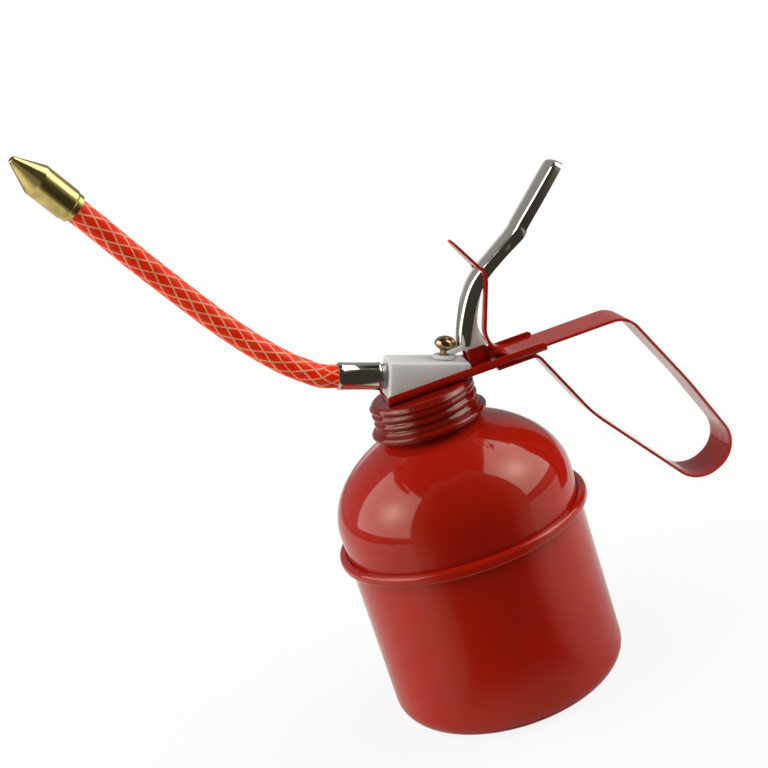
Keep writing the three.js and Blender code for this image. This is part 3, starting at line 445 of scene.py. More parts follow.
def turned(name, profile, place=Matrix.Identity(4), segments=96):
    """Turned piece from radii and heights; the profile closes on itself or ends on the axis."""
    closed = profile[0][0] > 0
    rows = [ring_of(radius, z, segments, place) for radius, z in profile]
    return grid(name, rows, wrap_rows=closed)


def plate(name, outline, low, high):
    """Flat outline in x and z with its thickness along y."""
    size = len(outline)
    vertices = [(x, y, z) for y in (low, high) for x, z in outline]
    faces = [tuple(range(size)), tuple(range(2 * size - 1, size - 1, -1))]
    faces += [(i, (i + 1) % size, size + (i + 1) % size, size + i) for i in range(size)]
    return new_piece(name, vertices, faces)


def apply_modifiers(piece):
    """Puts the result of the piece's modifiers into its mesh."""
    graph = bpy.context.evaluated_depsgraph_get()
    mesh = bpy.data.meshes.new_from_object(piece.evaluated_get(graph))
    piece.modifiers.clear()
    piece.data = mesh
    clean(piece)
    return piece


def combine(piece, tool, how):
    """Cuts the tool out of the piece, or joins it on, or keeps what both share."""
    step = piece.modifiers.new("combine", "BOOLEAN")
    step.operation = how
    step.solver = "EXACT"
    step.object = tool
    apply_modifiers(piece)
    bpy.data.objects.remove(tool)
    return piece


def bore(piece, radius, low, high, place):
    """Round hole along the local z axis of a frame."""
    tool = turned("bore", [(0, low), (radius, low), (radius, high), (0, high)], place, 48)
    return combine(piece, tool, "DIFFERENCE")


def bevel(piece, width, segments=3, angle=50):
    step = piece.modifiers.new("bevel", "BEVEL")
    step.width = width * MM
    step.segments = segments
    step.limit_method = "ANGLE"
    step.angle_limit = math.radians(angle)
    return piece


def thicken(piece, thickness, offset=0.0):
    step = piece.modifiers.new("thicken", "SOLIDIFY")
    step.thickness = thickness * MM
    step.offset = offset
    step.use_even_offset = True
    return piece


def dress(piece, node, material):
    """The piece stands for a CAD node, rides on its body and takes its material slot."""
    body = next(b for b, nodes in frame["record"]["behaviour"]["bodies"].items() if node in nodes)
    piece.data.materials.clear()
    piece.data.materials.append(material)
    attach(piece, body)
    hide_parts(node)
    return piece


# Materials
class Nodes:
    """Short ways to add linked nodes to a tree of shader nodes."""

    def __init__(self, tree):
        self.tree = tree

    def add(self, kind, inputs=None, output=0, **settings):
        """Adds a node, sets or links its inputs and gives back one of its outputs."""
        node = self.tree.nodes.new("ShaderNode" + kind)
        for key, value in settings.items():
            setattr(node, key, value)
        for key, value in (inputs or {}).items():
            if isinstance(value, bpy.types.NodeSocket):
                self.tree.links.new(value, node.inputs[key])
            else:
                node.inputs[key].default_value = value
        return node.outputs[output] if node.outputs else None

    def ranged(self, value, low, high, start=0.35, end=0.65, smooth=False):
        kind = "SMOOTHSTEP" if smooth else "LINEAR"
        inputs = {"Value": value, "From Min": start, "From Max": end, "To Min": low, "To Max": high}
        return self.add("MapRange", inputs, interpolation_type=kind)

    def math(self, operation, *values):
        return self.add("Math", dict(enumerate(values)), operation=operation)

    def parts(self, vector, axes):
        return [self.add("SeparateXYZ", {"Vector": vector}, axis) for axis in axes]


class Finish(Nodes):
    """A procedural material with one main shader."""

    def __init__(self, name, **sockets):
        self.material = bpy.data.materials.new(name)
        self.material.use_nodes = True
        super().__init__(self.material.node_tree)
        self.shader = self.tree.nodes["Principled BSDF"]
        for socket, value in sockets.items():
            self.shader.inputs[socket.replace("_", " ")].default_value = value

    def feed(self, socket, output):
        self.tree.links.new(output, self.shader.inputs[socket])

    def noise(self, place, scale, detail):
        return self.add("TexNoise", {"Vector": place, "Scale": scale, "Detail": detail}, "Fac")

    def speckle(self, scale, detail=3.0, stretch=(1, 1, 1)):
        """Noise in object space; the stretch squeezes it along some axes."""
        place = self.add("TexCoord", output="Object")
        return self.noise(self.add("Mapping", {"Vector": place, "Scale": stretch}), scale, detail)

    def mixed(self, factor, first, second):
        return self.add("Mix", {0: factor, 6: first, 7: second}, 2, data_type="RGBA")

    def relief(self, height, strength, distance):
        inputs = {"Height": height, "Strength": strength, "Distance": distance * MM}
        self.feed("Normal", self.add("Bump", inputs))

    def way(self):
        """The UV map's share round the piece and way along it, in metres."""
        return self.parts(self.add("UVMap", uv_map="way"), "XY")


def red_enamel(name, light, deep):
    finish = Finish(name, IOR=1.45, Specular_Tint=(1, 0.9, 0.72, 1))
    drift = finish.ranged(finish.speckle(22, 2), 0, 1)
    finish.feed("Base Color", finish.mixed(drift, light, deep))
    finish.feed("Roughness", finish.ranged(finish.speckle(70), 0.05, 0.09))
    finish.relief(finish.speckle(210, 2), 0.06, 0.05)
    return finish.material


def bright_chrome():
    finish = Finish("bright_chrome", Metallic=1.0)
    smudge = finish.speckle(90, 4)
    tone = finish.ranged(smudge, 0, 1)
    finish.feed("Base Color", finish.mixed(tone, (0.74, 0.70, 0.62, 1), (0.62, 0.58, 0.51, 1)))
    finish.feed("Roughness", finish.ranged(smudge, 0.05, 0.1))
    finish.relief(finish.speckle(120, 2), 0.03, 0.03)
    return finish.material


def dull_zinc():
    finish = Finish("dull_zinc", Metallic=0.1)
    bloom = finish.speckle(160, 4)
    tone = finish.ranged(bloom, 0, 1)
    finish.feed("Base Color", finish.mixed(tone, (0.84, 0.89, 0.86, 1), (0.76, 0.81, 0.78, 1)))
    finish.feed("Roughness", finish.ranged(bloom, 0.42, 0.55))
    finish.relief(finish.speckle(700, 3), 0.12, 0.04)
    return finish.material


def plain_steel():
    finish = Finish("plain_steel", Metallic=1.0)
    grain = finish.speckle(500, 3, (1, 1, 0.1))
    finish.feed("Base Color", finish.mixed(grain, (0.55, 0.55, 0.54, 1), (0.38, 0.38, 0.37, 1)))
    finish.feed("Roughness", finish.ranged(grain, 0.25, 0.42))
    finish.relief(grain, 0.1, 0.03)
    return finish.material


def turned_metal(name, bright, dull, roughness, marks):
    """Metal with fine turning marks along the way of the profile, and a little tarnish."""
    finish = Finish(name, Metallic=1.0)
    _, along = finish.way()
    ridges = finish.noise(finish.add("CombineXYZ", {"X": along}), 5200, 2)
    tarnish = finish.speckle(260, 4)
    finish.feed("Base Color", finish.mixed(finish.ranged(tarnish, 0, 1, 0.4, 0.75), bright, dull))
    finish.feed("Roughness", finish.ranged(tarnish, roughness, roughness + 0.12))
    finish.relief(ridges, marks, 0.05)
    return finish.material


def milky_plastic():
    glow = {"Subsurface_Weight": 0.6, "Subsurface_Scale": 0.005, "Subsurface_Radius": (1.0, 0.95, 0.9)}
    finish = Finish("milky_plastic", IOR=1.5, **glow)
    cloud = finish.speckle(120, 3)
    finish.feed("Base Color", finish.mixed(cloud, (0.60, 0.60, 0.59, 1), (0.66, 0.66, 0.64, 1)))
    finish.feed("Roughness", finish.ranged(cloud, 0.3, 0.42))
    finish.relief(finish.speckle(900, 2), 0.08, 0.03)
    return finish.material


def black_rubber():
    finish = Finish("black_rubber")
    grain = finish.speckle(1500, 3)
    finish.feed("Base Color", finish.mixed(grain, (0.02, 0.02, 0.02, 1), (0.05, 0.05, 0.048, 1)))
    finish.feed("Roughness", finish.ranged(grain, 0.6, 0.8))
    finish.relief(grain, 0.2, 0.05)
    return finish.material


def braided_hose():
    """Clear red plastic over a pale diamond braid of yarns in two helices."""
    finish = Finish("braided_hose", IOR=1.38, Specular_IOR_Level=0.2)
    share, along = finish.way()
    climb = finish.math("DIVIDE", along, BRAID_PITCH * MM)
    strands = []
    for operation in ("ADD", "SUBTRACT"):
        count = finish.math("MULTIPLY", finish.math(operation, share, climb), float(BRAID_YARNS))
        strands.append(finish.math("PINGPONG", count, 0.5))
    nearest = finish.math("MINIMUM", *strands)
    yarn = finish.ranged(nearest, 1, 0, 0.04, 0.11, smooth=True)
    cloud = finish.ranged(finish.speckle(180, 3), 0, 1)
    core = finish.mixed(cloud, (0.90, 0.020, 0.002, 1), (0.97, 0.038, 0.005, 1))
    thread = finish.mixed(cloud, (0.92, 0.34, 0.17, 1), (0.95, 0.50, 0.29, 1))
    finish.feed("Base Color", finish.mixed(yarn, core, thread))
    finish.feed("Roughness", finish.ranged(yarn, 0.25, 0.45, 0, 1))
    finish.relief(yarn, 0.25, 0.15)
    return finish.material


RED = red_enamel("red_enamel", (0.38, 0.010, 0.003, 1), (0.33, 0.008, 0.003, 1))
# The cap's enamel is a darker copy of the same red paint: painted shade for the shade that the pump head
# and bracket cast on the cap.
SHADED_CAP_RED = red_enamel("cap_enamel_painted_shade", (0.22, 0.006, 0.002, 1), (0.17, 0.005, 0.002, 1))
CHROME = bright_chrome()
ZINC = dull_zinc()
STEEL = plain_steel()
BRASS = turned_metal("turned_brass", (0.64, 0.52, 0.19, 1), (0.38, 0.30, 0.10, 1), 0.13, 0.12)
BRONZE = turned_metal("dark_bronze", (0.47, 0.31, 0.16, 1), (0.33, 0.21, 0.11, 1), 0.1, 0.05)
PLASTIC = milky_plastic()
RUBBER = black_rubber()
BRAID = braided_hose()
SLOT_FINISH = {
    "red_paint": RED,
    "lever_chrome": CHROME,
    "plain_steel": STEEL,
    "tip_brass": BRASS,
    "ball_bronze": BRONZE,
    "white_plastic": PLASTIC,
    "black_rubber": RUBBER,
    "hose_plastic": BRAID,
}


# Hose and nozzle tip
def smooth_line(points, parts=8):
    """Centripetal spline through points, with its ends carried straight on."""
    points = [Vector(p) for p in points]
    line = [points[0]]
    chain = [2 * points[0] - points[1], *points, 2 * points[-1] - points[-2]]
    for a, b, c, d in zip(chain, chain[1:], chain[2:], chain[3:]):
        times = [0]
        for start, end in ((a, b), (b, c), (c, d)):
            times.append(times[-1] + math.sqrt((end - start).length))
        for i in range(1, parts + 1):
            t = times[1] + (times[2] - times[1]) * i / parts
            level = [a, b, c, d]
            for depth in (1, 2, 3):
                pairs = enumerate(zip(level, level[1:]))
                level = [blend_at(p, q, *span(times, depth, k), t) for k, (p, q) in pairs]
            line.append(level[0])
    return line


def span(times, depth, index):
    """Interval of one step of the spline's recursion."""
    if depth == 1:
        return times[index], times[index + 1]
    if depth == 2:
        return times[index], times[index + 2]
    return times[1], times[2]


def blend_at(first, second, start, end, t):
    return first.lerp(second, (t - start) / (end - start))


def tube_rows(line, radius, sides):
    """Rings of points round a line, turned as little as possible from one to the next."""
    rows = []
    side = None
    for i, centre in enumerate(line):
        along = (line[min(i + 1, len(line) - 1)] - line[max(i - 1, 0)]).normalized()
        side = along.orthogonal() if side is None else side
        side = (side - side.dot(along) * along).normalized()
        other = along.cross(side)
        angles = [TAU * k / sides for k in range(sides)]
        rows.append([centre + (side * math.cos(a) + other * math.sin(a)) * radius for a in angles])
    return rows


def make_hose():
    start = OUTLET @ Vector((0, 0, FERRULE_HIGH + HOSE_GAP))
    inside = OUTLET @ Vector((0, 0, FERRULE_HIGH - HOSE_SOCKET))
    line = smooth_line([start, *HOSE_ROUTE])
    ahead = (line[-1] - line[-2]).normalized()
    line = [inside, *line, line[-1] + ahead * HOSE_SOCKET]
    outside = tube_rows(line, HOSE_RADIUS, HOSE_SIDES)
    bore_rows = tube_rows(line, HOSE_BORE, HOSE_SIDES)
    hose = grid("braided_hose", outside + bore_rows[::-1], wrap_rows=True)
    dress(hose, "hose", BRAID)
    return hose, line, ahead


def make_tip(end, ahead):
    turn = Vector((0, 0, 1)).rotation_difference(ahead).to_matrix().to_4x4()
    cone_end = TIP_BODY + TIP_CONE
    socket = HOSE_RADIUS + TIP_SLACK
    profile = [
        (TIP_ORIFICE, cone_end),
        (TIP_FLAT - 0.15, cone_end),
        (TIP_FLAT, cone_end - 0.12),
        (TIP_RADIUS - 0.12, TIP_BODY + 0.24),
        (TIP_RADIUS, TIP_BODY - 0.05),
        (TIP_RADIUS, TIP_GROOVE + 0.45),
        (TIP_RADIUS - 0.1, TIP_GROOVE + 0.3),
        (TIP_COLLAR, TIP_GROOVE + 0.1),
        (TIP_COLLAR, 0.2),
        (TIP_COLLAR - 0.2, 0),
        (socket, 0),
        (socket, TIP_SOCKET),
        (TIP_ORIFICE, TIP_SOCKET),
    ]
    tip = turned("brass_tip", [tuple(p) for p in spaced(profile, 0.5)], Matrix.Translation(end) @ turn)
    return dress(tip, "nozzle_tip", BRASS)


hose, hose_line, hose_ahead = make_hose()
hose_end = hose_line[-1] - hose_ahead * (HOSE_SOCKET - HOSE_GAP)
tip = make_tip(hose_end, hose_ahead)


# Can
def shoulder(outer, inner, steps):
    sweep = math.radians(DOME_SWEEP)
    width = (outer - inner) / (1 - math.cos(sweep))
    points = []
    for i in range(steps + 1):
        angle = sweep * i / steps
        rise = DOME_RISE * math.sin(angle) / math.sin(sweep)
        points.append((outer - width * (1 - math.cos(angle)), DOME_FOOT + rise))
    return points


def thread_rows(radius, low, high, side):
    """Rows of radius, height and share of the thread, which fades to one side at both ends."""
    count = round(THREAD_ROWS * (high - low) / THREAD_PITCH)
    fade = THREAD_PITCH / 2
    rows = []
    for i in range(count + 1):
        z = low + (high - low) * i / count
        share = min(1, (z - low) / fade, (high - z) / fade)
        rows.append((radius + side * THREAD_DEPTH * (1 - share), z, share))
    return rows


def wave(phase, fullness):
    """Thread height from -1 to 1; a low fullness gives round ribs with narrow grooves between."""
    return 2 * abs(math.cos(phase / 2)) ** fullness - 1


def threaded(name, profile, segments, fullness, closed):
    """Turned piece with a rolled thread, from rows of radius, height and share of the thread."""
    rows = []
    for radius, z, share in profile:
        row = []
        for i in range(segments):
            angle = TAU * i / segments
            r = radius + share * THREAD_DEPTH * wave(TAU * z / THREAD_PITCH - angle, fullness)
            row.append(Vector((r * math.cos(angle), r * math.sin(angle), z)))
        rows.append(row)
    return grid(name, rows, wrap_rows=closed)


def plain(points):
    return [(x, z, 0) for x, z in points]


def make_can_body():
    inner = CAN_RADIUS - CAN_SHEET
    centre = CAN_RADIUS - BASE_CORNER
    flange_top = SEAM_HEIGHT - SEAM_GAP / 2
    flange_low = flange_top - CAN_SHEET
    profile = [
        (0, 0),
        *arc(centre, BASE_CORNER, BASE_CORNER, -90, 0, 16),
        (CAN_RADIUS, flange_low),
        (CAN_RADIUS + SEAM_FLANGE, flange_low),
        (CAN_RADIUS + SEAM_FLANGE, flange_top),
        (inner, flange_top),
        *arc(centre, BASE_CORNER, BASE_CORNER - CAN_SHEET, 0, -90, 12),
        (0, CAN_SHEET),
    ]
    dress(turned("tin_body", profile, segments=CAN_SEGMENTS), "can_body", RED)


def make_can_dome():
    flange_low = SEAM_HEIGHT + SEAM_GAP / 2
    flange_top = flange_low + CAN_SHEET
    inner = CAN_RADIUS - CAN_SHEET
    neck_low = DOME_FOOT + DOME_RISE + NECK_FILLET
    thread_root = THREAD_RADIUS - THREAD_DEPTH
    profile = plain([
        (inner, flange_low),
        (CAN_RADIUS + SEAM_FLANGE, flange_low),
        (CAN_RADIUS + SEAM_FLANGE, flange_top),
        (CAN_RADIUS, flange_top),
        *shoulder(CAN_RADIUS, NECK_ROOT, 40),
        (thread_root + 0.6, neck_low - 0.35),
        (thread_root + 0.15, neck_low - 0.1),
    ])
    profile += thread_rows(THREAD_RADIUS, neck_low, NECK_TOP, -1)
    profile += plain([(NECK_BORE, NECK_TOP), *shoulder(inner, NECK_BORE, 24)[::-1]])
    dress(threaded("tin_dome", profile, CAN_SEGMENTS, NECK_FULLNESS, True), "can_dome", RED)


def make_seam_ring():
    lip = CAN_RADIUS + SEAM_GAP
    hollow = CAN_RADIUS + SEAM_FLANGE + SEAM_GAP
    outer = hollow + SEAM_SHEET
    half = SEAM_GAP * 1.5 + CAN_SHEET + SEAM_SHEET
    top, low = SEAM_HEIGHT + half, SEAM_HEIGHT - half
    profile = [
        (lip, low + SEAM_LIP),
        (lip + SEAM_LIP, low),
        *arc(outer - SEAM_EDGE, low + SEAM_EDGE, SEAM_EDGE, -90, 0, 10),
        *arc(outer - SEAM_EDGE, top - SEAM_EDGE, SEAM_EDGE, 0, 90, 10),
        (lip + SEAM_LIP, top),
        (lip, top - SEAM_LIP),
        (lip, top - SEAM_SHEET),
        (hollow, top - SEAM_SHEET),
        (hollow, low + SEAM_SHEET),
        (lip, low + SEAM_SHEET),
    ]
    dress(turned("rolled_seam", profile, segments=CAN_SEGMENTS), "seam_ring", RED)


make_can_body()
make_can_dome()
make_seam_ring()


# Cap, bracket and strap
def make_cap():
    thread_foot = CAP_FOOT + 2 * HEM_RADIUS
    inner_edge = CAP_EDGE - (CAP_TOP - CAP_UNDER)
    bead = CAP_OUTER + HEM_RADIUS
    top_edge = arc(CAP_OUTER - CAP_EDGE, CAP_TOP - CAP_EDGE, CAP_EDGE, 90, 20, 8)
    under_edge = arc(CAP_INNER - inner_edge, CAP_UNDER - inner_edge, inner_edge, 45, 90, 3)
    profile = plain([(0, CAP_TOP), *top_edge])
    profile += thread_rows(CAP_OUTER, thread_foot, CAP_TOP - CAP_EDGE, 1)[::-1]
    profile += plain([
        *arc(bead, CAP_FOOT + HEM_RADIUS, HEM_RADIUS, 75, -90, 12),
        (CAP_INNER + THREAD_DEPTH, CAP_FOOT),
    ])
    profile += thread_rows(CAP_INNER, thread_foot, CAP_UNDER - inner_edge, 1)
    profile += plain([*under_edge, (0, CAP_UNDER)])
    cap = threaded("ribbed_cap", profile, CAP_SEGMENTS, CAP_FULLNESS, False)
    bore(cap, CYLINDER_HOLE, -PUMP_CUT, PUMP_CUT, PUMP)
    # The cap takes the darker copy of the red enamel, which is painted shade.
    dress(cap, "screw_cap", SHADED_CAP_RED)


def corner_cut(gap, radius):
    """How far a rounded corner stands back at a distance from the end."""
    short = max(0, radius - gap)
    return radius - math.sqrt(max(0, radius ** 2 - short ** 2))


def make_bracket():
    rows = []
    length = BRACKET_REAR - BRACKET_FRONT
    for i in range(BRACKET_ROWS + 1):
        step = i / BRACKET_ROWS
        x = BRACKET_FRONT + length * (step - math.sin(TAU * step) / TAU * BRACKET_CROWDING)
        gap = min(x - BRACKET_FRONT, BRACKET_REAR - x)
        wall = BRACKET_TOP - BRACKET_CORNER_DROP * corner_cut(gap, BRACKET_CORNER)
        section = bent_line([
            (-BRACKET_HALF, wall, 0),
            (-BRACKET_HALF, BRACKET_FLOOR, BRACKET_BEND),
            (BRACKET_HALF, BRACKET_FLOOR, BRACKET_BEND),
            (BRACKET_HALF, wall, 0),
        ])
        rows.append([Vector((x, y, z)) for y, z in section])
    channel = grid("channel_bracket", rows, wrap_columns=False)
    bevel(thicken(channel, SHEET), BRACKET_EDGE)
    apply_modifiers(channel)
    bend_level = EAR_TOP - EAR_CORNER
    ear = [
        (EAR_REAR, BRACKET_FLOOR),
        *arc(EAR_REAR - EAR_CORNER, bend_level, EAR_CORNER, 0, 90, 8),
        *arc(EAR_FRONT + EAR_CORNER, bend_level, EAR_CORNER, 90, 180, 8),
        (EAR_FRONT, BRACKET_FLOOR),
    ]
    for low in (-EAR_INNER - SHEET, EAR_INNER):
        side = plate("ear", ear, low, low + SHEET)
        bevel(side, EAR_EDGE)
        combine(channel, apply_modifiers(side), "UNION")
    bore(channel, PIN_HOLE, -PIN_CUT, PIN_CUT, PIN)
    bore(channel, CYLINDER_HOLE, -PUMP_CUT, PUMP_CUT, PUMP)
    dress(channel, "bracket", RED)


def leaf_halves(z):
    """Half widths of the leaf and of its slot at a height."""
    taper = max(0, (z - LEAF_TAPER) / (STRAP_LINE[0][1] - LEAF_TAPER))
    rise = (z - SLOT_LOW) / (SLOT_HIGH - SLOT_LOW)
    slot = SLOT_HALF_LOW + (SLOT_HALF_HIGH - SLOT_HALF_LOW) * rise
    return STRAP_HALF + (LEAF_END - STRAP_HALF) * taper, slot


def make_strap():
    line = spaced(bent_line(STRAP_LINE), 1.0)
    fine_tip = [line[0].lerp(line[1], t) for t in (0, 0.03, 0.1, 0.22, 0.4, 0.65)]
    line = fine_tip + line[1:]
    way = [0]
    for a, b in zip(line, line[1:]):
        way.append(way[-1] + (b - a).length)
    leaf_end = next(i for i, p in enumerate(line) if p.y < SLOT_LOW)
    in_slot = [i for i in range(leaf_end) if line[i].y < SLOT_HIGH]
    first, last = in_slot[0], in_slot[-1]
    vertices, faces = [], []
    legs, middle = 3, 8
    shares = [i / legs for i in range(legs)] + [1 + i / middle for i in range(middle)]
    shares += [2 + i / legs for i in range(legs + 1)]
    for i, p in enumerate(line):
        half, slot = leaf_halves(p.y) if i < leaf_end else (STRAP_HALF, SLOT_HALF_LOW)
        half -= corner_cut(way[i], LEAF_CORNER)
        gap = min(way[i] - way[first], way[last] - way[i]) if first <= i <= last else 0
        slot = min(slot - corner_cut(gap, SLOT_CORNER), half * SLOT_SHARE)
        stops = [-half, -slot, slot, half]
        for share in shares:
            k = min(int(share), 2)
            y = stops[k] + (stops[k + 1] - stops[k]) * (share - k)
            vertices.append((p.x, y, p.y))
    size = len(shares)
    for i in range(len(line) - 1):
        for j in range(size - 1):
            open_cell = first <= i < last and legs <= j < legs + middle
            if not open_cell:
                a, b = i * size + j, (i + 1) * size + j
                faces.append((a, a + 1, b + 1, b))
    strap = new_piece("strap_handle_sheet", vertices, faces)
    bevel(thicken(strap, SHEET), STRAP_EDGE)
    apply_modifiers(strap)
    dress(strap, "strap_handle", RED)


def make_pin():
    """Rivet through the ears with low round heads, painted with the bracket."""
    end = PIN_REACH + PIN_CROWN
    half = [
        (PIN_RADIUS, PIN_REACH),
        (PIN_HEAD, PIN_REACH),
        (PIN_HEAD - 0.2, PIN_REACH + 0.15),
        (0.9, end - 0.05),
        (0, end),
    ]
    profile = [(radius, -y) for radius, y in half[::-1]] + half
    dress(turned("painted_rivet", profile, PIN, 48), "lever_pin", RED)


make_cap()
make_bracket()
make_strap()
make_pin()


# Lever
def lever_station(t):
    """Point, half width and flange depth of the lever at a station, between the stated ones."""
    last = len(LEVER_LINE) - 1
    i = min(int(t), last - 1)
    share = t - i
    around = [LEVER_LINE[max(0, min(last, i + k))] for k in (-1, 0, 1, 2)]
    weights = [
        0.5 * (-share + 2 * share ** 2 - share ** 3),
        0.5 * (2 - 5 * share ** 2 + 3 * share ** 3),
        0.5 * (share + 4 * share ** 2 - 3 * share ** 3),
        0.5 * (share ** 3 - share ** 2),
    ]
    return [sum(w * p[k] for w, p in zip(weights, around)) for k in range(4)]


def lever_section(half, depth, crumple, drop):
    """Outer line of the folded section as pairs of outward height and width."""
    fold = min(LEVER_FOLD, half * 0.6)
    edge = max(0.2, depth - fold - drop)
    side = []
    for i in range(6):
        down = edge * (1 - i / 5)
        swell = crumple * math.sin(math.pi * (1 - i / 5) * 0.8)
        side.append((-drop - fold - down, half + LEVER_SPLAY * down + swell))
    side += [(z - fold - drop, half - fold + x) for x, z in arc(0, 0, fold, 0, 90, 7)[1:]]
    web = [(-drop + LEVER_CROWN * (1 - w ** 2), (half - fold) * w) for w in (0.66, 0.33, 0)]
    right = side + web
    return right + [(out, -y) for out, y in right[-2::-1]]


def kink_swell(t):
    """How far the flanges bulge at the lever's kink, and pull in on both sides of it."""
    away = abs(t - LEVER_KINK)
    swell = KINK_SWELL * math.exp(-(away / KINK_SWELL_REACH) ** 2)
    return swell - KINK_HOLLOW * math.exp(-((away - KINK_HOLLOW_AWAY) / KINK_HOLLOW_REACH) ** 2)


def make_lever():
    rows = []
    last = len(LEVER_LINE) - 1
    for i in range(LEVER_STATIONS + 1):
        t = last * i / LEVER_STATIONS
        x, z, half, depth = lever_station(t)
        ahead = lever_station(min(last, t + LEVER_STEP))
        behind = lever_station(max(0, t - LEVER_STEP))
        along = Vector((ahead[0] - behind[0], ahead[1] - behind[1])).normalized()
        rows.append((x, z, along, half, depth, kink_swell(t), 0))
    x, z, along, half, depth, _, _ = rows[-1]
    for i in range(1, LEVER_NOSE_ROWS + 1):
        angle = math.pi / 2 * i / LEVER_NOSE_ROWS
        reach = LEVER_NOSE * math.sin(angle)
        drop = LEVER_NOSE * (1 - math.cos(angle))
        narrowed = half - LEVER_NOSE_TAPER * drop
        rows.append((x + along.x * reach, z + along.y * reach, along, narrowed, depth, 0, drop))
    points = []
    for x, z, along, half, depth, crumple, drop in rows:
        row = []
        for out, y in lever_section(half, depth, crumple, drop):
            row.append(Vector((PIVOT[0] + x - out * along.y, y, PIVOT[1] + z + out * along.x)))
        points.append(row)
    lever = grid("thumb_lever", points, wrap_columns=False)
    thicken(lever, LEVER_SHEET, -1.0)
    apply_modifiers(lever)
    dress(lever, "lever", CHROME)


def boot_outline():
    """Side outline of the lever near its pivot: toe under the ball, rear edge and heel."""
    place = PUMP @ Vector((0, 0, BALL_CENTRE))
    slope = math.radians(TOE_RISE)
    normal = Vector((-math.sin(slope), math.cos(slope)))
    back = Vector((normal.y, -normal.x))
    pivot = Vector(PIVOT)
    touch = Vector((place.x, place.z)) - normal * UNDER_BALL
    inside = [pivot + Vector((p[0] + LEVER_SHEET, p[1])) for p in LEVER_LINE[:3]]
    toe_top = touch + back * TOE_STOP
    toe_tip = toe_top - back * TOE_TIP
    root_top = touch + back * (inside[0] - touch).dot(back)
    rear = smooth_line([(x, z, 0) for x, z in BOOT_BACK], 4)
    return [
        tuple(toe_tip),
        tuple(root_top),
        tuple(inside[1]),
        tuple(inside[2]),
        *((pivot.x + p.x, pivot.y + p.y) for p in rear),
        *arc(PIVOT[0], PIVOT[1], HEEL_RADIUS, 30, -150, 20),
        tuple(root_top - normal * TOE_HEIGHT),
        tuple(toe_top - normal * TOE_HEIGHT),
        tuple(toe_tip - normal * TOE_TIP_HEIGHT),
    ]


def make_boot():
    """The two dull side plates of the lever, which on the real object are one sheet with it."""
    plates = []
    for low in (-HEEL_HALF - BOOT_PROUD, HEEL_HALF - LEVER_SHEET + BOOT_PROUD):
        side = plate("lever_boot", boot_outline(), low, low + LEVER_SHEET)
        apply_modifiers(bevel(side, BOOT_EDGE))
        plates.append(bore(side, PIN_HOLE, -PIN_CUT, PIN_CUT, PIN))
    boot, other = plates
    combine(boot, other, "UNION")
    dress(boot, "lever", ZINC)


make_lever()
make_boot()


# Pump head, gland, plunger and ferrule
def make_head():
    head = plate("pump_block", HEAD_OUTLINE, -HEAD_HALF, HEAD_HALF)
    bevel(head, HEAD_EDGE, 5, 20)
    apply_modifiers(head)
    bore(head, GLAND_SPIGOT + BORE_GAP, GLAND_POCKET, PUMP_CUT, PUMP)
    bore(head, ROD_HOLE, 0, GLAND_SEAT, PUMP)
    bore(head, CYLINDER_HOLE, -PUMP_CUT, CYLINDER_TOP + BORE_GAP, PUMP)
    bore(head, OUTLET_CHAMBER, OUTLET_SEAT, FERRULE_LOW, OUTLET)
    dress(head, "pump_head", PLASTIC)


def make_gland():
    profile = [
        (ROD_HOLE, GLAND_LOW),
        (GLAND_SPIGOT, GLAND_LOW),
        (GLAND_SPIGOT, GLAND_SEAT),
        (GLAND_RIM - 0.15, GLAND_SEAT),
        (GLAND_RIM, GLAND_SEAT + 0.15),
        *arc(GLAND_RIM - GLAND_EDGE, GLAND_TOP - GLAND_EDGE, GLAND_EDGE, 0, 90, 6),
        (ROD_HOLE + 0.5, GLAND_TOP),
        (ROD_HOLE, GLAND_TOP - 0.4),
    ]
    dress(turned("gland_disc", profile, PUMP), "gland_nut", PLASTIC)


def make_plunger():
    neck = math.degrees(math.asin((ROD_RADIUS + 0.3) / BALL_RADIUS))
    circle = arc(0, 0, 1, neck - 90, 88, 36)
    profile = [
        (0, ROD_LOW),
        (ROD_RADIUS - 0.2, ROD_LOW),
        (ROD_RADIUS, ROD_LOW + 0.2),
        (ROD_RADIUS, BALL_CENTRE - BALL_RISE - 0.3),
        (ROD_RADIUS + 0.1, BALL_CENTRE - BALL_RISE + 0.1),
        *((x * BALL_RADIUS, BALL_CENTRE + z * BALL_RISE) for x, z in circle),
        (0, BALL_CENTRE + BALL_RISE),
    ]
    dress(turned("ball_plunger", profile, PUMP, 64), "plunger_rod", BRONZE)


def make_nipple():
    profile = [
        (NIPPLE_BORE, NIPPLE_LOW),
        (NIPPLE_SPIGOT, NIPPLE_LOW),
        (NIPPLE_SPIGOT, COLLAR_LOW),
        (COLLAR_RADIUS - 0.25, COLLAR_LOW),
        (COLLAR_RADIUS, COLLAR_LOW + 0.25),
        (COLLAR_RADIUS, COLLAR_LOW + 0.9),
        (COLLAR_RADIUS - 0.2, COLLAR_LOW + 1.1),
        (COLLAR_RADIUS - 0.2, COLLAR_HIGH - 0.2),
        (COLLAR_RADIUS - 0.4, COLLAR_HIGH),
        (NIPPLE_RADIUS, COLLAR_HIGH),
        (NIPPLE_RADIUS, FERRULE_HIGH),
        (NIPPLE_BORE, FERRULE_HIGH),
    ]
    dress(turned("collared_nipple", profile, OUTLET), "hose_nipple", STEEL)


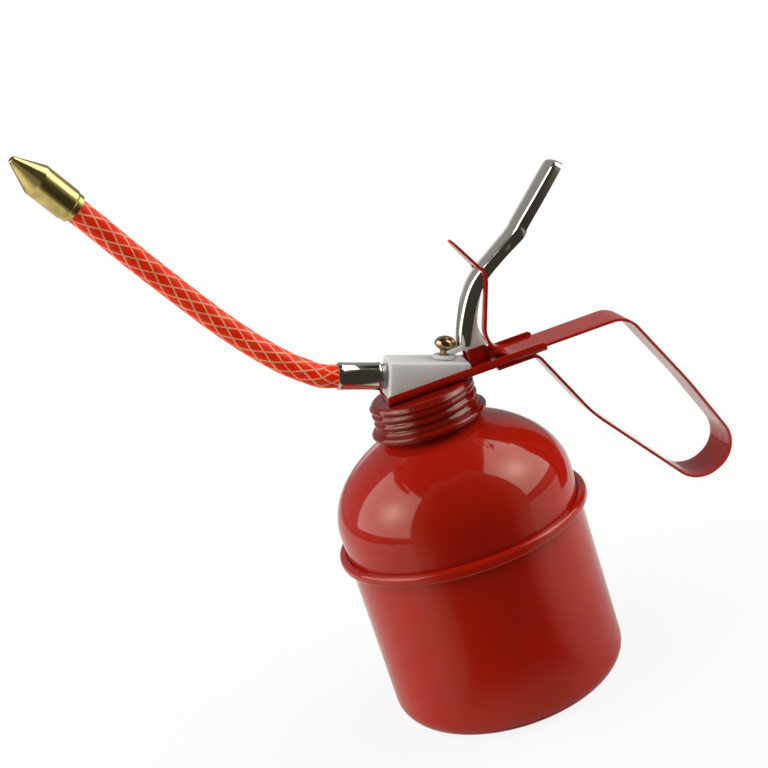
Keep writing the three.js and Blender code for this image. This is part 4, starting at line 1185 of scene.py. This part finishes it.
def make_ferrule():
    rim = FERRULE_RADIUS
    hold = HOSE_RADIUS + FERRULE_SLACK
    socket_low = FERRULE_HIGH - HOSE_SOCKET - HOSE_GAP
    profile = [
        (NIPPLE_RADIUS + BORE_GAP, FERRULE_LOW),
        (rim - 0.3, FERRULE_LOW),
        (rim - 0.05, FERRULE_LOW + 0.2),
        (rim, FERRULE_LOW + 0.5),
        (rim, FERRULE_LOW + 0.9),
        (rim - 0.1, FERRULE_LOW + 1.1),
        (rim - 0.1, FERRULE_HIGH - 2.1),
        (rim - 0.05, FERRULE_HIGH - 1.9),
        (rim, FERRULE_HIGH - 1.5),
        (rim, FERRULE_HIGH - 0.4),
        (rim - 0.1, FERRULE_HIGH - 0.1),
        (rim - 0.3, FERRULE_HIGH),
        (hold, FERRULE_HIGH - 0.1),
        (hold, socket_low),
        (NIPPLE_RADIUS + BORE_GAP, socket_low),
    ]
    dress(turned("hose_ferrule", profile, OUTLET), "ferrule", CHROME)


make_head()
make_gland()
make_plunger()
make_nipple()
make_ferrule()


# Springs, with one unbroken wire each
def make_spring(name, node, spring, place):
    radius, wire, turns, low, high = spring
    steps = turns * SPRING_STEPS
    climb = high - low - 2 * wire
    line = []
    for i in range(steps + 1):
        angle = TAU * turns * i / steps
        height = low + wire + climb * i / steps
        line.append(place @ Vector((radius * math.cos(angle), radius * math.sin(angle), height)))
    piece = grid(name, tube_rows(line, wire, SPRING_SIDES), caps=True)
    dress(piece, node, STEEL)
    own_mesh(piece)


make_spring("return_coil", "return_spring", RETURN_SPRING, PUMP)
make_spring("outlet_coil", "outlet_spring", OUTLET_SPRING, OUTLET)

# Inner pieces keep the shape of the solid model and take the finish of their slot
for subpart in frame["record"]["subparts"]:
    node = frame["nodes"][subpart["node"]]
    if not node.hide_render:
        node.data.materials.clear()
        node.data.materials.append(SLOT_FINISH[subpart["material_slot"]])


# Stage
def stage_material(name):
    material = bpy.data.materials.new(name)
    material.use_nodes = True
    material.node_tree.nodes.clear()
    return material, Nodes(material.node_tree)


def make_floor():
    """Pale paper that the camera sees as white, with the can's shadow on it."""
    corners = [(x * FLOOR_SIZE, y * FLOOR_SIZE, 0) for x, y in ((-1, -1), (1, -1), (1, 1), (-1, 1))]
    floor = new_piece("floor", corners, [(0, 1, 2, 3)])
    floor.location.z = -FLOOR_SINK * MM
    material, nodes = stage_material("pale_floor")
    place = nodes.add("TexCoord", output="Object")
    way = nodes.add("VectorMath", {0: place}, "Value", operation="LENGTH")
    share = nodes.ranged(way, FLOOR_GLOW, 1, FLOOR_GLOW_FROM * MM, FLOOR_GLOW_FULL * MM)
    glow = nodes.math("MULTIPLY", share, nodes.add("LightPath", output="Is Camera Ray"))
    paper = nodes.add("BsdfDiffuse", {"Color": PAPER_TONE})
    white = nodes.add("Emission", {"Strength": 1.0})
    nodes.add("OutputMaterial", {"Surface": nodes.add("MixShader", {0: glow, 1: paper, 2: white})})
    floor.data.materials.append(material)


def dark_cloth():
    """Dark before the can, and paler towards its edges and close to the can."""
    material, nodes = stage_material("dark_cloth")
    material.cycles.emission_sampling = "NONE"
    place = nodes.add("TexCoord", output="Object")
    level = nodes.add("VectorMath", {0: place, 1: (1, 1, 0)}, operation="MULTIPLY")
    way = nodes.add("VectorMath", {0: level}, "Value", operation="LENGTH")
    x, z = nodes.parts(place, "XZ")
    turn = nodes.math("ABSOLUTE", nodes.math("DIVIDE", x, way))
    inner, outer = (math.sin(math.radians(angle)) for angle in (FLAG_DARK_TURN, FLAG_TURN))
    edge = nodes.ranged(z, FLAG_EDGE, WALLS, FLAG_LOW * MM, FLAG_PALE_TO * MM)
    across = nodes.ranged(turn, FLAG_DARK, edge, inner, outer, smooth=True)
    near = nodes.ranged(way, FLAG_EDGE, FLAG_DARK, FLAG_NEAR * MM, FLAG_DARK_FROM * MM, smooth=True)
    high = nodes.ranged(z, FLAG_DARK, WALLS, FLAG_DARK_TO * MM, FLAG_HIGH * MM, smooth=True)
    glow = nodes.math("MAXIMUM", nodes.math("MAXIMUM", across, near), high)
    cloth = nodes.add("Emission", {"Color": CLOTH_TONE, "Strength": glow})
    nodes.add("OutputMaterial", {"Surface": cloth})
    return material


def make_flag(name, ends, material, hidden):
    """Curved dark screen before the can, never seen itself, through lines of radius and height."""
    turns = [math.radians(FLAG_TURN * (2 * i / FLAG_STRIPS - 1)) for i in range(FLAG_STRIPS + 1)]
    rows = [[(r * math.sin(a), -r * math.cos(a), z) for a in turns] for r, z in ends]
    flag = grid(name, rows, wrap_columns=False)
    flag.data.materials.append(material)
    for kind in hidden:
        setattr(flag, "visible_" + kind, False)


def make_world():
    """White for the camera and behind the can; soft grey walls for all else, dark overhead."""
    world = bpy.data.worlds.new("studio")
    bpy.context.scene.world = world
    world.use_nodes = True
    nodes = Nodes(world.node_tree)
    behind, rise = nodes.parts(nodes.add("TexCoord", output="Generated"), "YZ")
    walls = nodes.ranged(rise, WALLS, CEILING, CEILING_FROM, CEILING_FULL)
    backdrop = nodes.ranged(behind, 0, 1, BACKDROP_FROM, BACKDROP_FULL)
    kinds = ("Is Camera Ray", "Is Transmission Ray", "Is Glossy Ray")
    camera, clear, glossy = (nodes.add("LightPath", output=kind) for kind in kinds)
    mirrored = nodes.math("MULTIPLY", glossy, backdrop)
    seen = nodes.math("MAXIMUM", nodes.math("MAXIMUM", camera, clear), mirrored)
    strength = nodes.add("Mix", {0: seen, 2: walls, 3: 1.0}, data_type="FLOAT")
    back = world.node_tree.nodes["Background"]
    back.inputs["Color"].default_value = (1, 1, 1, 1)
    world.node_tree.links.new(strength, back.inputs["Strength"])


def make_lamp(name, azimuth, elevation, distance, size, radiance):
    """Soft light that faces the can; azimuth 0 is towards the viewer and 90 towards the handle."""
    data = bpy.data.lights.new(name, "AREA")
    if isinstance(size, tuple):
        data.shape = "RECTANGLE"
        data.size, data.size_y = size
        area = data.size * data.size_y
    else:
        data.shape = "DISK"
        data.size = size
        area = math.pi * size * size / 4
    data.energy = radiance * math.pi * area
    lamp = bpy.data.objects.new(name, data)
    bpy.context.scene.collection.objects.link(lamp)
    a, e = math.radians(azimuth), math.radians(elevation)
    away = Vector((math.sin(a) * math.cos(e), -math.cos(a) * math.cos(e), math.sin(e)))
    lamp.location = Vector(LAMP_AIM) + away * distance
    lamp.rotation_euler = away.to_track_quat("Z", "Y").to_euler()
    lamp.visible_camera = False


make_floor()
CLOTH = dark_cloth()
UNSEEN = ["camera", "transmission", "volume_scatter", "shadow"]
APRON = [(FLAG_NEAR, FLAG_LOW), (FLAG_RADIUS, FLAG_LOW), (FLAG_RADIUS, FLAG_MIDDLE)]
make_flag("dark_apron", APRON, CLOTH, UNSEEN + ["diffuse"])
make_flag("dark_flag", [(FLAG_RADIUS, FLAG_MIDDLE), (FLAG_RADIUS, FLAG_HIGH)], CLOTH, UNSEEN)
make_world()
for side, azimuth, elevation, radiance in BOXES:
    make_lamp(side + "_box", azimuth, elevation, BOX_DISTANCE, BOX_SIZE, radiance)
    inward = azimuth - math.copysign(GLOW_INWARD, azimuth)
    for step, (size, strength) in enumerate(GLOW):
        distance = GLOW_DISTANCE - GLOW_STEP * step
        make_lamp(f"{side}_glow_{step}", inward, elevation + GLOW_RISE, distance, size, strength)
bpy.context.scene.view_settings.view_transform = "Standard"
